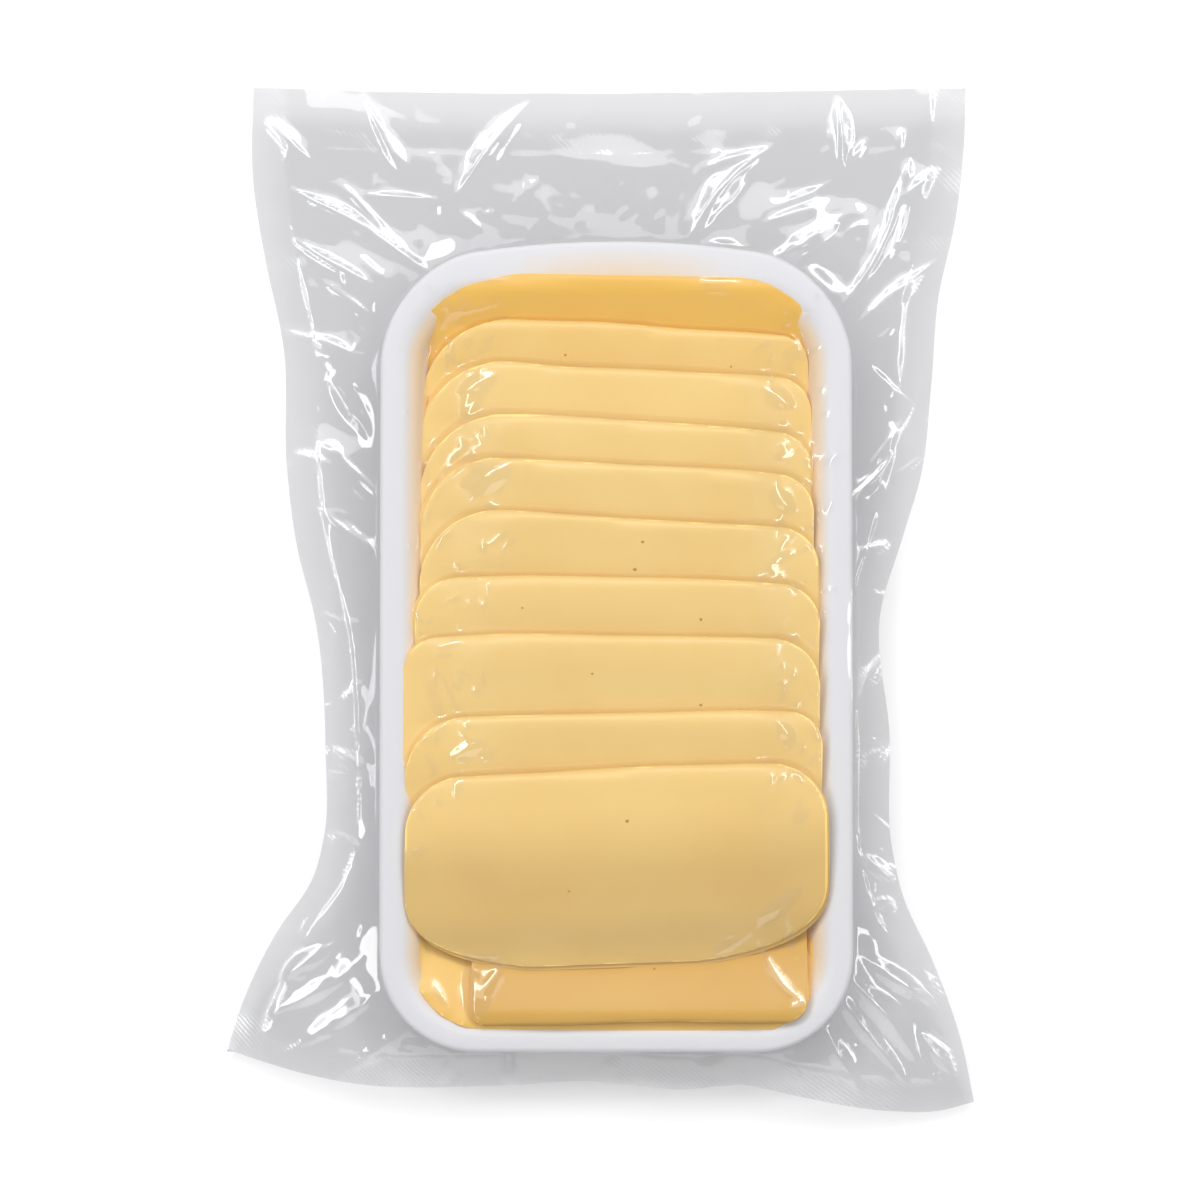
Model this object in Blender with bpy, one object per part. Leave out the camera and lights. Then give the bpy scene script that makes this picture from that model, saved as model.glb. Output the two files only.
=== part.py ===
"""A vacuum pouch of folded cheese slices on a shallow foam tray, as one closed solid.

The pouch lies on the flat base of its tray. Its upper side follows the shingled slices, the tray's
rim and the sealed margin round it; its underside follows the tray's tapered wall and flat base.
Sizes are in millimetres; MM turns them to metres. X is across, Y runs along the tray to its far
end, and Z is up, with the origin under the middle of the pouch.
"""

import math

import bmesh
import bpy
import numpy as np

MM = 0.001

# Sealed margin: where the pouch's four edges run, drawn in beside the tray.
LEFT_EDGE = ((-117.0, -96.8), (-103.9, -92.4), (-86.7, -83.8), (-73.3, -74.6), (-62.0, -71.4),
             (-40.0, -71.0), (-6.5, -73.6), (13.6, -78.6), (33.9, -81.2), (65.3, -82.2),
             (89.0, -87.2), (109.1, -90.3), (133.0, -90.3))
RIGHT_EDGE = ((-130.5, 97.1), (-113.8, 93.4), (-94.0, 86.1), (-78.0, 78.6), (-65.0, 75.5),
              (-35.8, 74.9), (-4.0, 72.6), (16.2, 78.6), (32.1, 83.3), (54.0, 85.9),
              (78.6, 88.0), (98.4, 92.4), (117.5, 94.7), (133.0, 95.3))
NEAR_EDGE = ((-97.0, -116.9), (-86.0, -120.6), (-66.0, -125.3), (-26.0, -126.1), (-3.0, -125.0),
             (21.0, -127.1), (38.0, -126.1), (51.0, -128.9), (75.0, -132.8), (88.0, -132.8),
             (97.1, -130.5))
FAR_EDGE = ((-90.3, 133.0), (-40.0, 131.6), (20.0, 131.6), (95.3, 133.0))
MARGIN_THICKNESS = 1.0

# Tray: a shallow foam tray with tapered walls, its far end bowed out a little.
TRAY_CENTRE = (4.2, -15.2)
TRAY_WIDTH = 124.0
TRAY_LENGTH = 202.0
TRAY_CORNER = 25.0
TRAY_END_BOW = 7.5
RIM_HEIGHT = 14.5
RIM_BAND = 3.0
RIM_EDGE = 1.6
TRAY_TAPER = 12.0
FLOOR_HEIGHT = 3.0

# Slices: folded in half and shingled, each one lying on the one before it.
SLICE_WIDTH = 105.0
SLICE_DEPTH = 50.0
SLICE_THICKNESS = 4.0
SLICE_FOLD_CORNER = 7.0
SLICE_END_CORNER = 17.0
FILM_SLOPE = 0.85
# Each slice: Y of its fold on the tray's centre line, X of its middle, slope of its fold, and
# how high its far end rests above the tray's floor.
SLICES = ((83.3, 4.5, -0.012, 0.0), (72.0, 5.0, -0.018, 0.0), (61.0, 5.2, -0.040, 0.0),
          (47.0, 4.8, -0.042, 0.0), (35.3, 4.6, -0.040, 0.0), (21.2, 4.2, -0.036, 0.0),
          (5.5, 2.8, -0.008, 0.0), (-9.8, 2.6, -0.030, 1.5), (-29.6, 2.4, 0.012, 4.0),
          (-44.4, 3.2, 0.016, 5.5))
FIRST_SLICE_LIFT = 1.5
LAST_FOLD_Y = -109.5
LAST_WIDTH = 96.0
LAST_SLICE_LIFT = 3.0

# Margin: it leaves the rim, levels off and droops to its edge, with ripples and folds.
MARGIN_LEVEL = 10.5
MARGIN_FALL = 6.0
MARGIN_DROOP = 0.115
RIPPLE_HEIGHT = 0.9
# Each fold: tray corner (x side, y side), its heading in degrees, reach, half width, height.
FOLDS = ((-1, 1, 142, 56, 8.5, 3.2), (-1, 1, 100, 46, 8.0, 2.6), (-1, 1, 184, 34, 7.5, 2.2),
         (1, 1, 78, 62, 8.5, 2.8), (1, 1, 38, 52, 8.5, 2.8), (1, 1, -4, 34, 7.5, 2.0),
         (-1, -1, 192, 40, 8.5, 2.6), (-1, -1, 238, 34, 7.5, 2.2),
         (1, -1, -52, 40, 8.5, 2.8), (1, -1, -8, 34, 7.5, 2.0))

# Lines of the solid's net: cells across the margin, the tray's wall and the slices.
MARGIN_CELLS_X = 9
MARGIN_CELLS_NEAR = 6
MARGIN_CELLS_FAR = 12
RIM_OFFSETS = (0.0, 2.0, 4.5, 8.5, 12.5)
SLICE_CELLS_X = 9
STEP_OFFSETS = (1.2, -1.2, -6.0)
CLEAR_OF_TABLE = 0.6


def curve_through(points, at):
    """Value at `at` of the smooth line through (position, value) points."""
    position = np.array([p[0] for p in points])
    value = np.array([p[1] for p in points])
    slope = np.gradient(value, position)
    at = np.clip(at, position[0], position[-1])
    i = np.clip(np.searchsorted(position, at) - 1, 0, len(position) - 2)
    span = position[i + 1] - position[i]
    t = (at - position[i]) / span
    return ((1 + 2 * t) * (1 - t) ** 2 * value[i] + t * (1 - t) ** 2 * span * slope[i]
            + t * t * (3 - 2 * t) * value[i + 1] + t * t * (t - 1) * span * slope[i + 1])


def smooth_step(low, high, value):
    """0 below `low`, 1 above `high`, with a soft rise between."""
    t = np.clip((value - low) / (high - low), 0.0, 1.0)
    return t * t * (3 - 2 * t)


def box_distance(x, y, half_x, half_y, corner):
    """Distance outside a rounded rectangle centred on the origin, negative inside it."""
    dx = np.abs(x) - half_x + corner
    dy = np.abs(y) - half_y + corner
    outside = np.hypot(np.maximum(dx, 0), np.maximum(dy, 0))
    return outside + np.minimum(np.maximum(dx, dy), 0) - corner


def rim_distance(x, y):
    """Distance outside the tray's rim, negative over the tray."""
    across = x - TRAY_CENTRE[0]
    along = y - TRAY_CENTRE[1]
    half_x = TRAY_WIDTH / 2
    half_y = TRAY_LENGTH / 2
    bow = TRAY_END_BOW * np.clip(1 - (across / half_x) ** 2, 0, 1)
    along = along - bow * smooth_step(0.3, 1.0, along / half_y)
    return box_distance(across, along, half_x, half_y, TRAY_CORNER)


def slab(distance, surface, edge):
    """A flat-topped layer with a rounded edge, and the film that slopes away from it."""
    inset = np.clip(-distance, 0, edge)
    rounding = edge - np.sqrt(np.maximum(edge ** 2 - (edge - inset) ** 2, 0))
    return surface - rounding - FILM_SLOPE * np.maximum(distance, 0)


def fold_lifts():
    """How high each slice's fold rests above the tray's floor, on the slice before it."""
    lifts = [FIRST_SLICE_LIFT]
    for before, after in zip(SLICES, SLICES[1:]):
        share = (before[0] - after[0]) / SLICE_DEPTH
        lifts.append(lifts[-1] + (before[3] - lifts[-1]) * share + SLICE_THICKNESS)
    return lifts


def slice_height(x, y, fold_lift, fold_y, middle_x, slope, end_lift):
    """Height of the film over one folded slice, which leans from its fold down to its end."""
    across = x - middle_x
    back = fold_y + slope * (x - TRAY_CENTRE[0]) - y
    v = back - SLICE_DEPTH / 2
    corner = np.where(back < SLICE_DEPTH / 2, SLICE_FOLD_CORNER, SLICE_END_CORNER)
    distance = box_distance(across, v, SLICE_WIDTH / 2, SLICE_DEPTH / 2, corner)
    lift = fold_lift + (end_lift - fold_lift) * np.clip(back / SLICE_DEPTH, 0, 1)
    return slab(distance, FLOOR_HEIGHT + SLICE_THICKNESS + lift, SLICE_THICKNESS / 2)


def last_slice_height(x, y):
    """Height of the film over the lowest slice, whose fold faces the near end."""
    middle = LAST_FOLD_Y + SLICE_DEPTH / 2
    distance = box_distance(x - TRAY_CENTRE[0], y - middle, LAST_WIDTH / 2, SLICE_DEPTH / 2,
                            SLICE_FOLD_CORNER)
    surface = FLOOR_HEIGHT + SLICE_THICKNESS + LAST_SLICE_LIFT
    return slab(distance, surface + 0 * x, SLICE_THICKNESS / 2)


def fold_height(x, y, side_x, side_y, heading, reach, half_width, height):
    """Height of one pinched fold of the margin, running out from a corner of the tray."""
    inset = TRAY_CORNER * (1 - math.sqrt(0.5))
    start_x = TRAY_CENTRE[0] + side_x * (TRAY_WIDTH / 2 - inset)
    start_y = TRAY_CENTRE[1] + side_y * (TRAY_LENGTH / 2 - inset)
    angle = math.radians(heading)
    along = (x - start_x) * math.cos(angle) + (y - start_y) * math.sin(angle)
    aside = np.abs((y - start_y) * math.cos(angle) - (x - start_x) * math.sin(angle))
    opening = half_width * (0.8 + 0.2 * smooth_step(0, 0.6 * reach, along))
    ridge = smooth_step(0, 1, 1 - aside / opening)
    life = smooth_step(0, 12, along) * (1 - smooth_step(0.5 * reach, reach, along))
    return height * ridge * life


def margin_height(x, y):
    """Height of the sealed margin's upper face."""
    out = np.maximum(rim_distance(x, y), 0)
    level = MARGIN_LEVEL + (RIM_HEIGHT - RIM_EDGE - MARGIN_LEVEL) * np.exp(-out / MARGIN_FALL)
    ripple = np.sin(x / 11.0 + 0.6) * np.sin(y / 14.0 + 1.1)
    z = level - MARGIN_DROOP * out + RIPPLE_HEIGHT * ripple * smooth_step(4, 30, out)
    for fold in FOLDS:
        z = z + fold_height(x, y, *fold)
    return np.maximum(z, MARGIN_THICKNESS + CLEAR_OF_TABLE)


def upper_height(x, y):
    """Height of the pouch's upper side: the highest of the margin, the rim and the slices."""
    distance = rim_distance(x, y)
    z = np.where(distance > 0, margin_height(x, y), -1.0)
    z = np.maximum(z, slab(np.maximum(distance, -RIM_BAND), RIM_HEIGHT + 0 * x, RIM_EDGE))
    into_tray = np.maximum(-distance - RIM_BAND, 0)
    z = z - 0.45 * np.minimum(into_tray, 6.0)
    z = np.maximum(z, last_slice_height(x, y))
    for fold_lift, placed in zip(fold_lifts(), SLICES):
        z = np.maximum(z, slice_height(x, y, fold_lift, *placed))
    return z


def lower_height(x, y):
    """Height of the pouch's underside: flat base, tapered wall, then the margin's lower face."""
    distance = rim_distance(x, y)
    wall_height = RIM_HEIGHT - RIM_EDGE - MARGIN_THICKNESS
    wall = wall_height * np.clip((distance + TRAY_TAPER) / TRAY_TAPER, 0, 1)
    return np.where(distance < 0, wall, margin_height(x, y) - MARGIN_THICKNESS)


def even_steps(start, end, cells):
    """Evenly spaced lines from `start` up to, but not at, `end`."""
    return [start + (end - start) * i / cells for i in range(cells)]


def lines_across():
    """X of the net's lines before they are drawn to the pouch's edges."""
    left = TRAY_CENTRE[0] - TRAY_WIDTH / 2
    right = TRAY_CENTRE[0] + TRAY_WIDTH / 2
    inner_left = left + RIM_OFFSETS[-1]
    inner_right = right - RIM_OFFSETS[-1]
    lines = even_steps(NEAR_EDGE[0][0], left, MARGIN_CELLS_X)
    lines += [left + offset for offset in RIM_OFFSETS]
    lines += even_steps(inner_left, inner_right, SLICE_CELLS_X)[1:]
    lines += [right - offset for offset in reversed(RIM_OFFSETS)]
    lines += even_steps(right, NEAR_EDGE[-1][0], MARGIN_CELLS_X)[1:]
    return np.array(lines + [NEAR_EDGE[-1][0]])


def lines_along():
    """Y and slope of the net's lines, which follow each slice's fold so that its step is crisp."""
    near = TRAY_CENTRE[1] - TRAY_LENGTH / 2
    far = TRAY_CENTRE[1] + TRAY_LENGTH / 2
    slice_end = SLICES[-1][0] - SLICE_DEPTH
    level = even_steps(NEAR_EDGE[-1][1], near, MARGIN_CELLS_NEAR)
    level += [near + offset for offset in RIM_OFFSETS[:3]]
    level += [LAST_FOLD_Y + 2, LAST_FOLD_Y + 8, slice_end - 1.5, slice_end + 1.0]
    level += even_steps(slice_end + 6.0, SLICES[-1][0] - 6.0, 6)
    lines = [(y, 0.0) for y in level]
    for fold_y, _, slope, _ in reversed(SLICES):
        lines += [(fold_y + offset, slope) for offset in reversed(STEP_OFFSETS)]
    level = [far, far + 3.5, far + TRAY_END_BOW]
    level += even_steps(far + TRAY_END_BOW, FAR_EDGE[0][1], MARGIN_CELLS_FAR)[1:]
    lines += [(y, 0.0) for y in level + [FAR_EDGE[0][1]]]
    return np.array(lines)


def turned_with_folds(x, y, slope):
    """Y of the net's points over the slices, turned a little with each slice's fold."""
    across = x - TRAY_CENTRE[0]
    fade = 1 - smooth_step(SLICE_WIDTH / 2, TRAY_WIDTH / 2, np.abs(across))
    return y + slope * across * fade


def drawn_to_edges(x, y):
    """Moves the net's points in the margin so that its rim runs along the pouch's edges."""
    left_rim = TRAY_CENTRE[0] - TRAY_WIDTH / 2
    right_rim = TRAY_CENTRE[0] + TRAY_WIDTH / 2
    near_rim = TRAY_CENTRE[1] - TRAY_LENGTH / 2
    far_rim = TRAY_CENTRE[1] + TRAY_LENGTH / 2
    to_left = np.clip((left_rim - x) / (left_rim - NEAR_EDGE[0][0]), 0, 1)
    to_right = np.clip((x - right_rim) / (NEAR_EDGE[-1][0] - right_rim), 0, 1)
    to_near = np.clip((near_rim - y) / (near_rim - NEAR_EDGE[-1][1]), 0, 1)
    to_far = np.clip((y - far_rim) / (FAR_EDGE[0][1] - far_rim), 0, 1)
    near_x = (1 - to_left - to_right) * x + to_left * NEAR_EDGE[0][0] + to_right * NEAR_EDGE[-1][0]
    near_y = curve_through(NEAR_EDGE, near_x)
    drawn_y = np.where(to_near > 0, near_rim + (near_y - near_rim) * to_near, y)
    drawn_y = np.where(to_far > 0, far_rim + (curve_through(FAR_EDGE, x) - far_rim) * to_far,
                       drawn_y)
    left_x = left_rim + (curve_through(LEFT_EDGE, drawn_y) - left_rim) * to_left
    right_x = right_rim + (curve_through(RIGHT_EDGE, drawn_y) - right_rim) * to_right
    drawn_x = np.where(to_left > 0, left_x, np.where(to_right > 0, right_x, x))
    return drawn_x, drawn_y


def add_sheet(mesh, columns, rows, height):
    """Adds a grid whose points lie on the net's lines at the given height."""
    made = bmesh.ops.create_grid(mesh, x_segments=len(columns) - 1, y_segments=len(rows) - 1,
                                 size=1.0)
    place_x = np.array([v.co.x for v in made["verts"]])
    place_y = np.array([v.co.y for v in made["verts"]])
    column = np.rint((place_x + 1) / 2 * (len(columns) - 1)).astype(int)
    row = np.rint((place_y + 1) / 2 * (len(rows) - 1)).astype(int)
    y = turned_with_folds(columns[column], rows[row, 0], rows[row, 1])
    x, y = drawn_to_edges(columns[column], y)
    z = height(x, y)
    for vert, *place in zip(made["verts"], x, y, z):
        vert.co = [value * MM for value in place]
    return made["verts"]


def merge_flat_base(mesh):
    """Joins the faces of the flat base into one."""
    flat = 1e-7
    base = [face for face in mesh.faces if all(abs(v.co.z) < flat for v in face.verts)]
    bmesh.ops.dissolve_faces(mesh, faces=base, use_verts=True)


def build_pouch_mesh():
    """Builds the closed solid between the pouch's upper side and its underside."""
    mesh = bmesh.new()
    columns = lines_across()
    rows = lines_along()
    add_sheet(mesh, columns, rows, upper_height)
    add_sheet(mesh, columns, rows, lower_height)
    rim = [edge for edge in mesh.edges if edge.is_boundary]
    bmesh.ops.bridge_loops(mesh, edges=rim)
    merge_flat_base(mesh)
    bmesh.ops.triangulate(mesh, faces=[face for face in mesh.faces if len(face.verts) > 4])
    bmesh.ops.recalc_face_normals(mesh, faces=mesh.faces)
    data = bpy.data.meshes.new("vacuum_pouch")
    mesh.to_mesh(data)
    mesh.free()
    return data


def pouch_material():
    """Glossy clear film over pale yellow cheese, as one plain colour."""
    material = bpy.data.materials.new("packed_cheese")
    material.use_nodes = True
    shader = material.node_tree.nodes["Principled BSDF"]
    shader.inputs["Base Color"].default_value = (0.80, 0.60, 0.24, 1.0)
    shader.inputs["Roughness"].default_value = 0.2
    shader.inputs["Metallic"].default_value = 0.0
    return material


def clear_scene():
    """Removes whatever the open file holds."""
    for item in list(bpy.data.objects):
        bpy.data.objects.remove(item, do_unlink=True)


def main():
    """Builds the pouch in its own collection."""
    clear_scene()
    parts = bpy.data.collections.new("pack_of_sliced_cheese")
    bpy.context.scene.collection.children.link(parts)
    data = build_pouch_mesh()
    data.materials.append(pouch_material())
    data.shade_smooth()
    data.set_sharp_from_angle(angle=math.radians(35))
    parts.objects.link(bpy.data.objects.new("vacuum_pouch", data))


main()
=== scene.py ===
"""Finished look of a vacuum pack of sliced cheese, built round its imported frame.

A clear pouch, drawn tight, holds folded cheese slices that lie shingled on a shallow tray of white
foam. Sizes in the classes are millimetres in the pack's own frame: X across, Y along the tray to
its far end, Z up from the table. Meshes are written in metres.
"""

import logging
import math
from dataclasses import dataclass, field, replace
from enum import Enum

import bpy
import numpy as np
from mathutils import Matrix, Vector
from mathutils.bvhtree import BVHTree


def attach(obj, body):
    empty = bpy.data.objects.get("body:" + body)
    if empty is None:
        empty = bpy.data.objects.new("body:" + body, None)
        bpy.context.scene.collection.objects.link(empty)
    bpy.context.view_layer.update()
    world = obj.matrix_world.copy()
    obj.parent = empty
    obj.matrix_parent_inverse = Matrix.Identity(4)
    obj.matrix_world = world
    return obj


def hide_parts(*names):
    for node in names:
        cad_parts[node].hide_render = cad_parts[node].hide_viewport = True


Field = np.ndarray
Material = bpy.types.Material
Piece = bpy.types.Object
Random = np.random.Generator
Socket = bpy.types.NodeSocket
Tree = bpy.types.NodeTree

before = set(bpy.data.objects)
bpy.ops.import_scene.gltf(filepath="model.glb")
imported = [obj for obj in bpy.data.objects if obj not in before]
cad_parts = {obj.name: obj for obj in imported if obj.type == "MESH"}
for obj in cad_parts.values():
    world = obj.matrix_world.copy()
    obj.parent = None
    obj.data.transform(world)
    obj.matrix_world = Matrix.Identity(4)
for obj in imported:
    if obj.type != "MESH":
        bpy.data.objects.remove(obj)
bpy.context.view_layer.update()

LOG = logging.getLogger("cheese_pack")
MM = 0.001
POUCH_NODE = "vacuum_pouch"
BODY = "root"
SEED = 11


# ---------------------------------------------------------------- small helpers


def linear_colour(code: str) -> tuple[float, float, float, float]:
    """Turns an sRGB hex colour into linear light.

    Args:
        code: Six hex digits.

    Returns:
        Red, green, blue and an alpha of 1.
    """
    channels = [int(code[i:i + 2], 16) / 255 for i in (0, 2, 4)]
    linear = [c / 12.92 if c <= 0.04045 else ((c + 0.055) / 1.055) ** 2.4 for c in channels]
    return (linear[0], linear[1], linear[2], 1.0)


def add_node(tree: Tree, kind: str, settings: dict | None = None) -> bpy.types.Node:
    """Adds a shader node, sets it and links its inputs.

    Args:
        tree: The material's node tree.
        kind: The node's type, less its ShaderNode.
        settings: Values or feeding sockets by input, and values by property.

    Returns:
        The new node.
    """
    node = tree.nodes.new("ShaderNode" + kind)
    for name, value in (settings or {}).items():
        if isinstance(value, Socket):
            tree.links.new(value, node.inputs[name])
        elif isinstance(name, int) or name in node.inputs:
            node.inputs[name].default_value = value
        else:
            setattr(node, name, value)
    return node


def new_material(name: str) -> tuple[Material, Tree]:
    """Makes an empty node material.

    Args:
        name: The real material's name.

    Returns:
        The material and its tree.
    """
    material = bpy.data.materials.new(name)
    material.use_nodes = True
    material.node_tree.nodes.clear()
    return material, material.node_tree


def smooth_step(low: float, high: float, value: Field) -> Field:
    """Rises softly from 0 at low to 1 at high."""
    t = np.clip((value - low) / (high - low), 0.0, 1.0)
    return t * t * (3 - 2 * t)


def neighbour_sum(values: Field, mode: str = "constant") -> Field:
    """Adds up each place's four neighbours, past the border as numpy's pad fills it."""
    padded = np.pad(values, 1, mode=mode)
    return padded[:-2, 1:-1] + padded[2:, 1:-1] + padded[1:-1, :-2] + padded[1:-1, 2:]


def curve_through(points: tuple, at: Field) -> Field:
    """Reads a smooth line through (position, value) points.

    Args:
        points: The points, by rising position.
        at: Positions to read it at.

    Returns:
        The line's value at each position.
    """
    position = np.array([p[0] for p in points])
    value = np.array([p[1] for p in points])
    slope = np.gradient(value, position)
    at = np.clip(at, position[0], position[-1])
    i = np.clip(np.searchsorted(position, at) - 1, 0, len(position) - 2)
    span = position[i + 1] - position[i]
    t = (at - position[i]) / span
    return ((1 + 2 * t) * (1 - t) ** 2 * value[i] + t * (1 - t) ** 2 * span * slope[i]
            + t * t * (3 - 2 * t) * value[i + 1] + t * t * (t - 1) * span * slope[i + 1])


def deselect_all() -> None:
    """Leaves object mode with nothing selected, as the frame's nodes start selected."""
    if bpy.context.object is not None and bpy.context.object.mode != "OBJECT":
        bpy.ops.object.mode_set(mode="OBJECT")
    bpy.ops.object.select_all(action="DESELECT")


def select_only(piece: Piece) -> None:
    """Selects one piece, alone and active."""
    deselect_all()
    piece.select_set(True)
    bpy.context.view_layer.objects.active = piece


def get_points(piece: Piece) -> Field:
    """Reads a mesh's points as an array of rows of three."""
    flat = np.empty(len(piece.data.vertices) * 3)
    piece.data.vertices.foreach_get("co", flat)
    return flat.reshape(-1, 3)


def set_points(piece: Piece, points: Field) -> None:
    """Moves a mesh's points to rows of x, y and z in metres."""
    piece.data.vertices.foreach_set("co", points.astype(np.float32).ravel())
    piece.data.update()


def mark_points(piece: Piece, name: str, values: Field) -> None:
    """Stores a number on each point, for the piece's finish to read."""
    mark = piece.data.attributes.new(name, "FLOAT", "POINT")
    mark.data.foreach_set("value", values.astype(np.float32))


def new_grid(name: str, cells_x: int, cells_y: int) -> Piece:
    """Adds a grid one metre square about the origin, ready to be shaped.

    Args:
        name: The piece's name.
        cells_x: Cells across.
        cells_y: Cells along.

    Returns:
        The new object, alone selected and active.
    """
    deselect_all()
    bpy.ops.mesh.primitive_grid_add(x_subdivisions=cells_x, y_subdivisions=cells_y, size=1.0)
    piece = bpy.context.object
    piece.name = name
    piece.data.name = name
    return piece


def apply_modifier(piece: Piece, kind: str, **settings: object) -> None:
    """Adds one modifier and applies it.

    Args:
        piece: The object to change.
        kind: The modifier's type.
        **settings: Its properties.
    """
    select_only(piece)
    modifier = piece.modifiers.new(kind.title(), kind)
    for name, value in settings.items():
        setattr(modifier, name, value)
    bpy.ops.object.modifier_apply(modifier=modifier.name)


def turn_over(piece: Piece) -> None:
    """Turns all of a piece's faces the other way."""
    select_only(piece)
    bpy.ops.object.mode_set(mode="EDIT")
    bpy.ops.mesh.select_all(action="SELECT")
    bpy.ops.mesh.flip_normals()
    bpy.ops.object.mode_set(mode="OBJECT")


def shade(piece: Piece, angle: float) -> None:
    """Shades a piece smooth where its faces meet at less than the angle in degrees."""
    select_only(piece)
    bpy.ops.object.shade_smooth_by_angle(angle=math.radians(angle))


def surface_tree(pieces: list[Piece]) -> BVHTree:
    """Gathers pieces into one tree that a straight probe can feel, in millimetres.

    Args:
        pieces: The pieces.

    Returns:
        The tree.
    """
    points, faces = [], []
    for piece in pieces:
        start = len(points)
        points.extend(map(tuple, get_points(piece) / MM))
        faces.extend([tuple(v + start for v in face.vertices) for face in piece.data.polygons])
    return BVHTree.FromPolygons(points, faces)


def finish_piece(piece: Piece, material: Material) -> None:
    """Dresses a piece and ties it to the frame.

    Args:
        piece: The finished object.
        material: Its finish.
    """
    piece.data.materials.clear()
    piece.data.materials.append(material)
    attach(piece, BODY)
    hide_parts(POUCH_NODE)
    LOG.info("%s: %d faces", piece.name, len(piece.data.polygons))


# ---------------------------------------------------------------- finishes


@dataclass(frozen=True)
class BarrierFilm:
    """Clear polyamide and polyethylene barrier film, blown and heat-sealed.

    It gives the eye a faint grey veil over what lies behind, and hard white glints where a crease
    turns to the lights. The seals are embossed with a fine knurl, so they glitter.
    """

    clear: str = "EFEFF0"
    haze: str = "F3F3F4"
    gloss: str = "FFFFFF"
    haze_share: float = 0.03
    mirror_share: float = 0.085
    cling_mirror: float = 0.012
    roughness: float = 0.06
    cling_roughness: float = 0.3
    seal_roughness: float = 0.16
    crease_mm: float = 9.0
    crease_height_mm: float = 0.13
    knurl_mm: float = 0.75
    knurl_height_mm: float = 0.022
    glancing_power: float = 4.0

    def material(self) -> Material:
        """Builds the film's material.

        Returns:
            A thin see-through sheet with a mirror that grows at a glancing angle, and that all but
            goes where the film clings to what it holds.
        """
        material, tree = new_material("barrier_film")
        seal = add_node(tree, "Attribute", {"attribute_name": "seal"}).outputs["Fac"]
        cling = add_node(tree, "Attribute", {"attribute_name": "cling"}).outputs["Fac"]
        normal = self.relief(tree, seal, cling)
        free = add_node(tree, "MapRange", {"Value": seal, "To Min": self.roughness,
                                           "To Max": self.seal_roughness})
        rough = add_node(tree, "MapRange", {"Value": cling, "To Min": free.outputs["Result"],
                                            "To Max": self.cling_roughness})
        least = add_node(tree, "MapRange", {"Value": cling, "To Min": self.mirror_share,
                                            "To Max": self.cling_mirror})
        clear = add_node(tree, "BsdfTransparent", {"Color": linear_colour(self.clear)})
        mirror = add_node(tree, "BsdfGlossy", {"Color": linear_colour(self.gloss),
                                               "Roughness": rough.outputs["Result"],
                                               "Normal": normal})
        haze = add_node(tree, "BsdfDiffuse", {"Color": linear_colour(self.haze)})
        facing = add_node(tree, "LayerWeight", {"Blend": 0.5, "Normal": normal})
        glancing = add_node(tree, "Math", {"operation": "POWER", 0: facing.outputs["Facing"],
                                           1: self.glancing_power})
        share = add_node(tree, "MapRange", {"Value": glancing.outputs[0], "To Max": 1.0,
                                            "To Min": least.outputs["Result"]})
        sheet = add_node(tree, "MixShader", {0: share.outputs["Result"], 1: clear.outputs[0],
                                             2: mirror.outputs[0]})
        veiled = add_node(tree, "MixShader", {0: self.haze_share, 1: sheet.outputs[0],
                                              2: haze.outputs[0]})
        add_node(tree, "OutputMaterial", {"Surface": veiled.outputs[0]})
        return material

    def relief(self, tree: Tree, seal: Socket, cling: Socket) -> Socket:
        """Builds the film's fine relief.

        Args:
            tree: The material's tree.
            seal: 1 on a sealed band and 0 off it.
            cling: 1 where the film clings and 0 where it is free.

        Returns:
            The normal with fine creases where the film is free and a knurl on the seals.
        """
        place = add_node(tree, "TexCoord").outputs["Object"]
        ridges = add_node(tree, "TexNoise", {
            "noise_type": "RIDGED_MULTIFRACTAL", "normalize": True, "Vector": place,
            "Scale": 1 / (self.crease_mm * MM), "Detail": 1.0})
        loose = add_node(tree, "MapRange", {"Value": cling, "To Min": 1.0, "To Max": 0.0})
        creased = add_node(tree, "Bump", {
            "Height": ridges.outputs["Fac"], "Strength": loose.outputs["Result"],
            "Distance": self.crease_height_mm * MM})
        knurl = add_node(tree, "TexWave", {"bands_direction": "DIAGONAL", "Vector": place,
                                           "Scale": math.pi / (10 * self.knurl_mm * MM)})
        pressed = add_node(tree, "Math", {"operation": "MULTIPLY", 0: knurl.outputs["Fac"],
                                          1: seal})
        knurled = add_node(tree, "Bump", {
            "Height": pressed.outputs[0], "Strength": 1.0, "Normal": creased.outputs["Normal"],
            "Distance": self.knurl_height_mm * MM})
        return knurled.outputs["Normal"]


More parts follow.
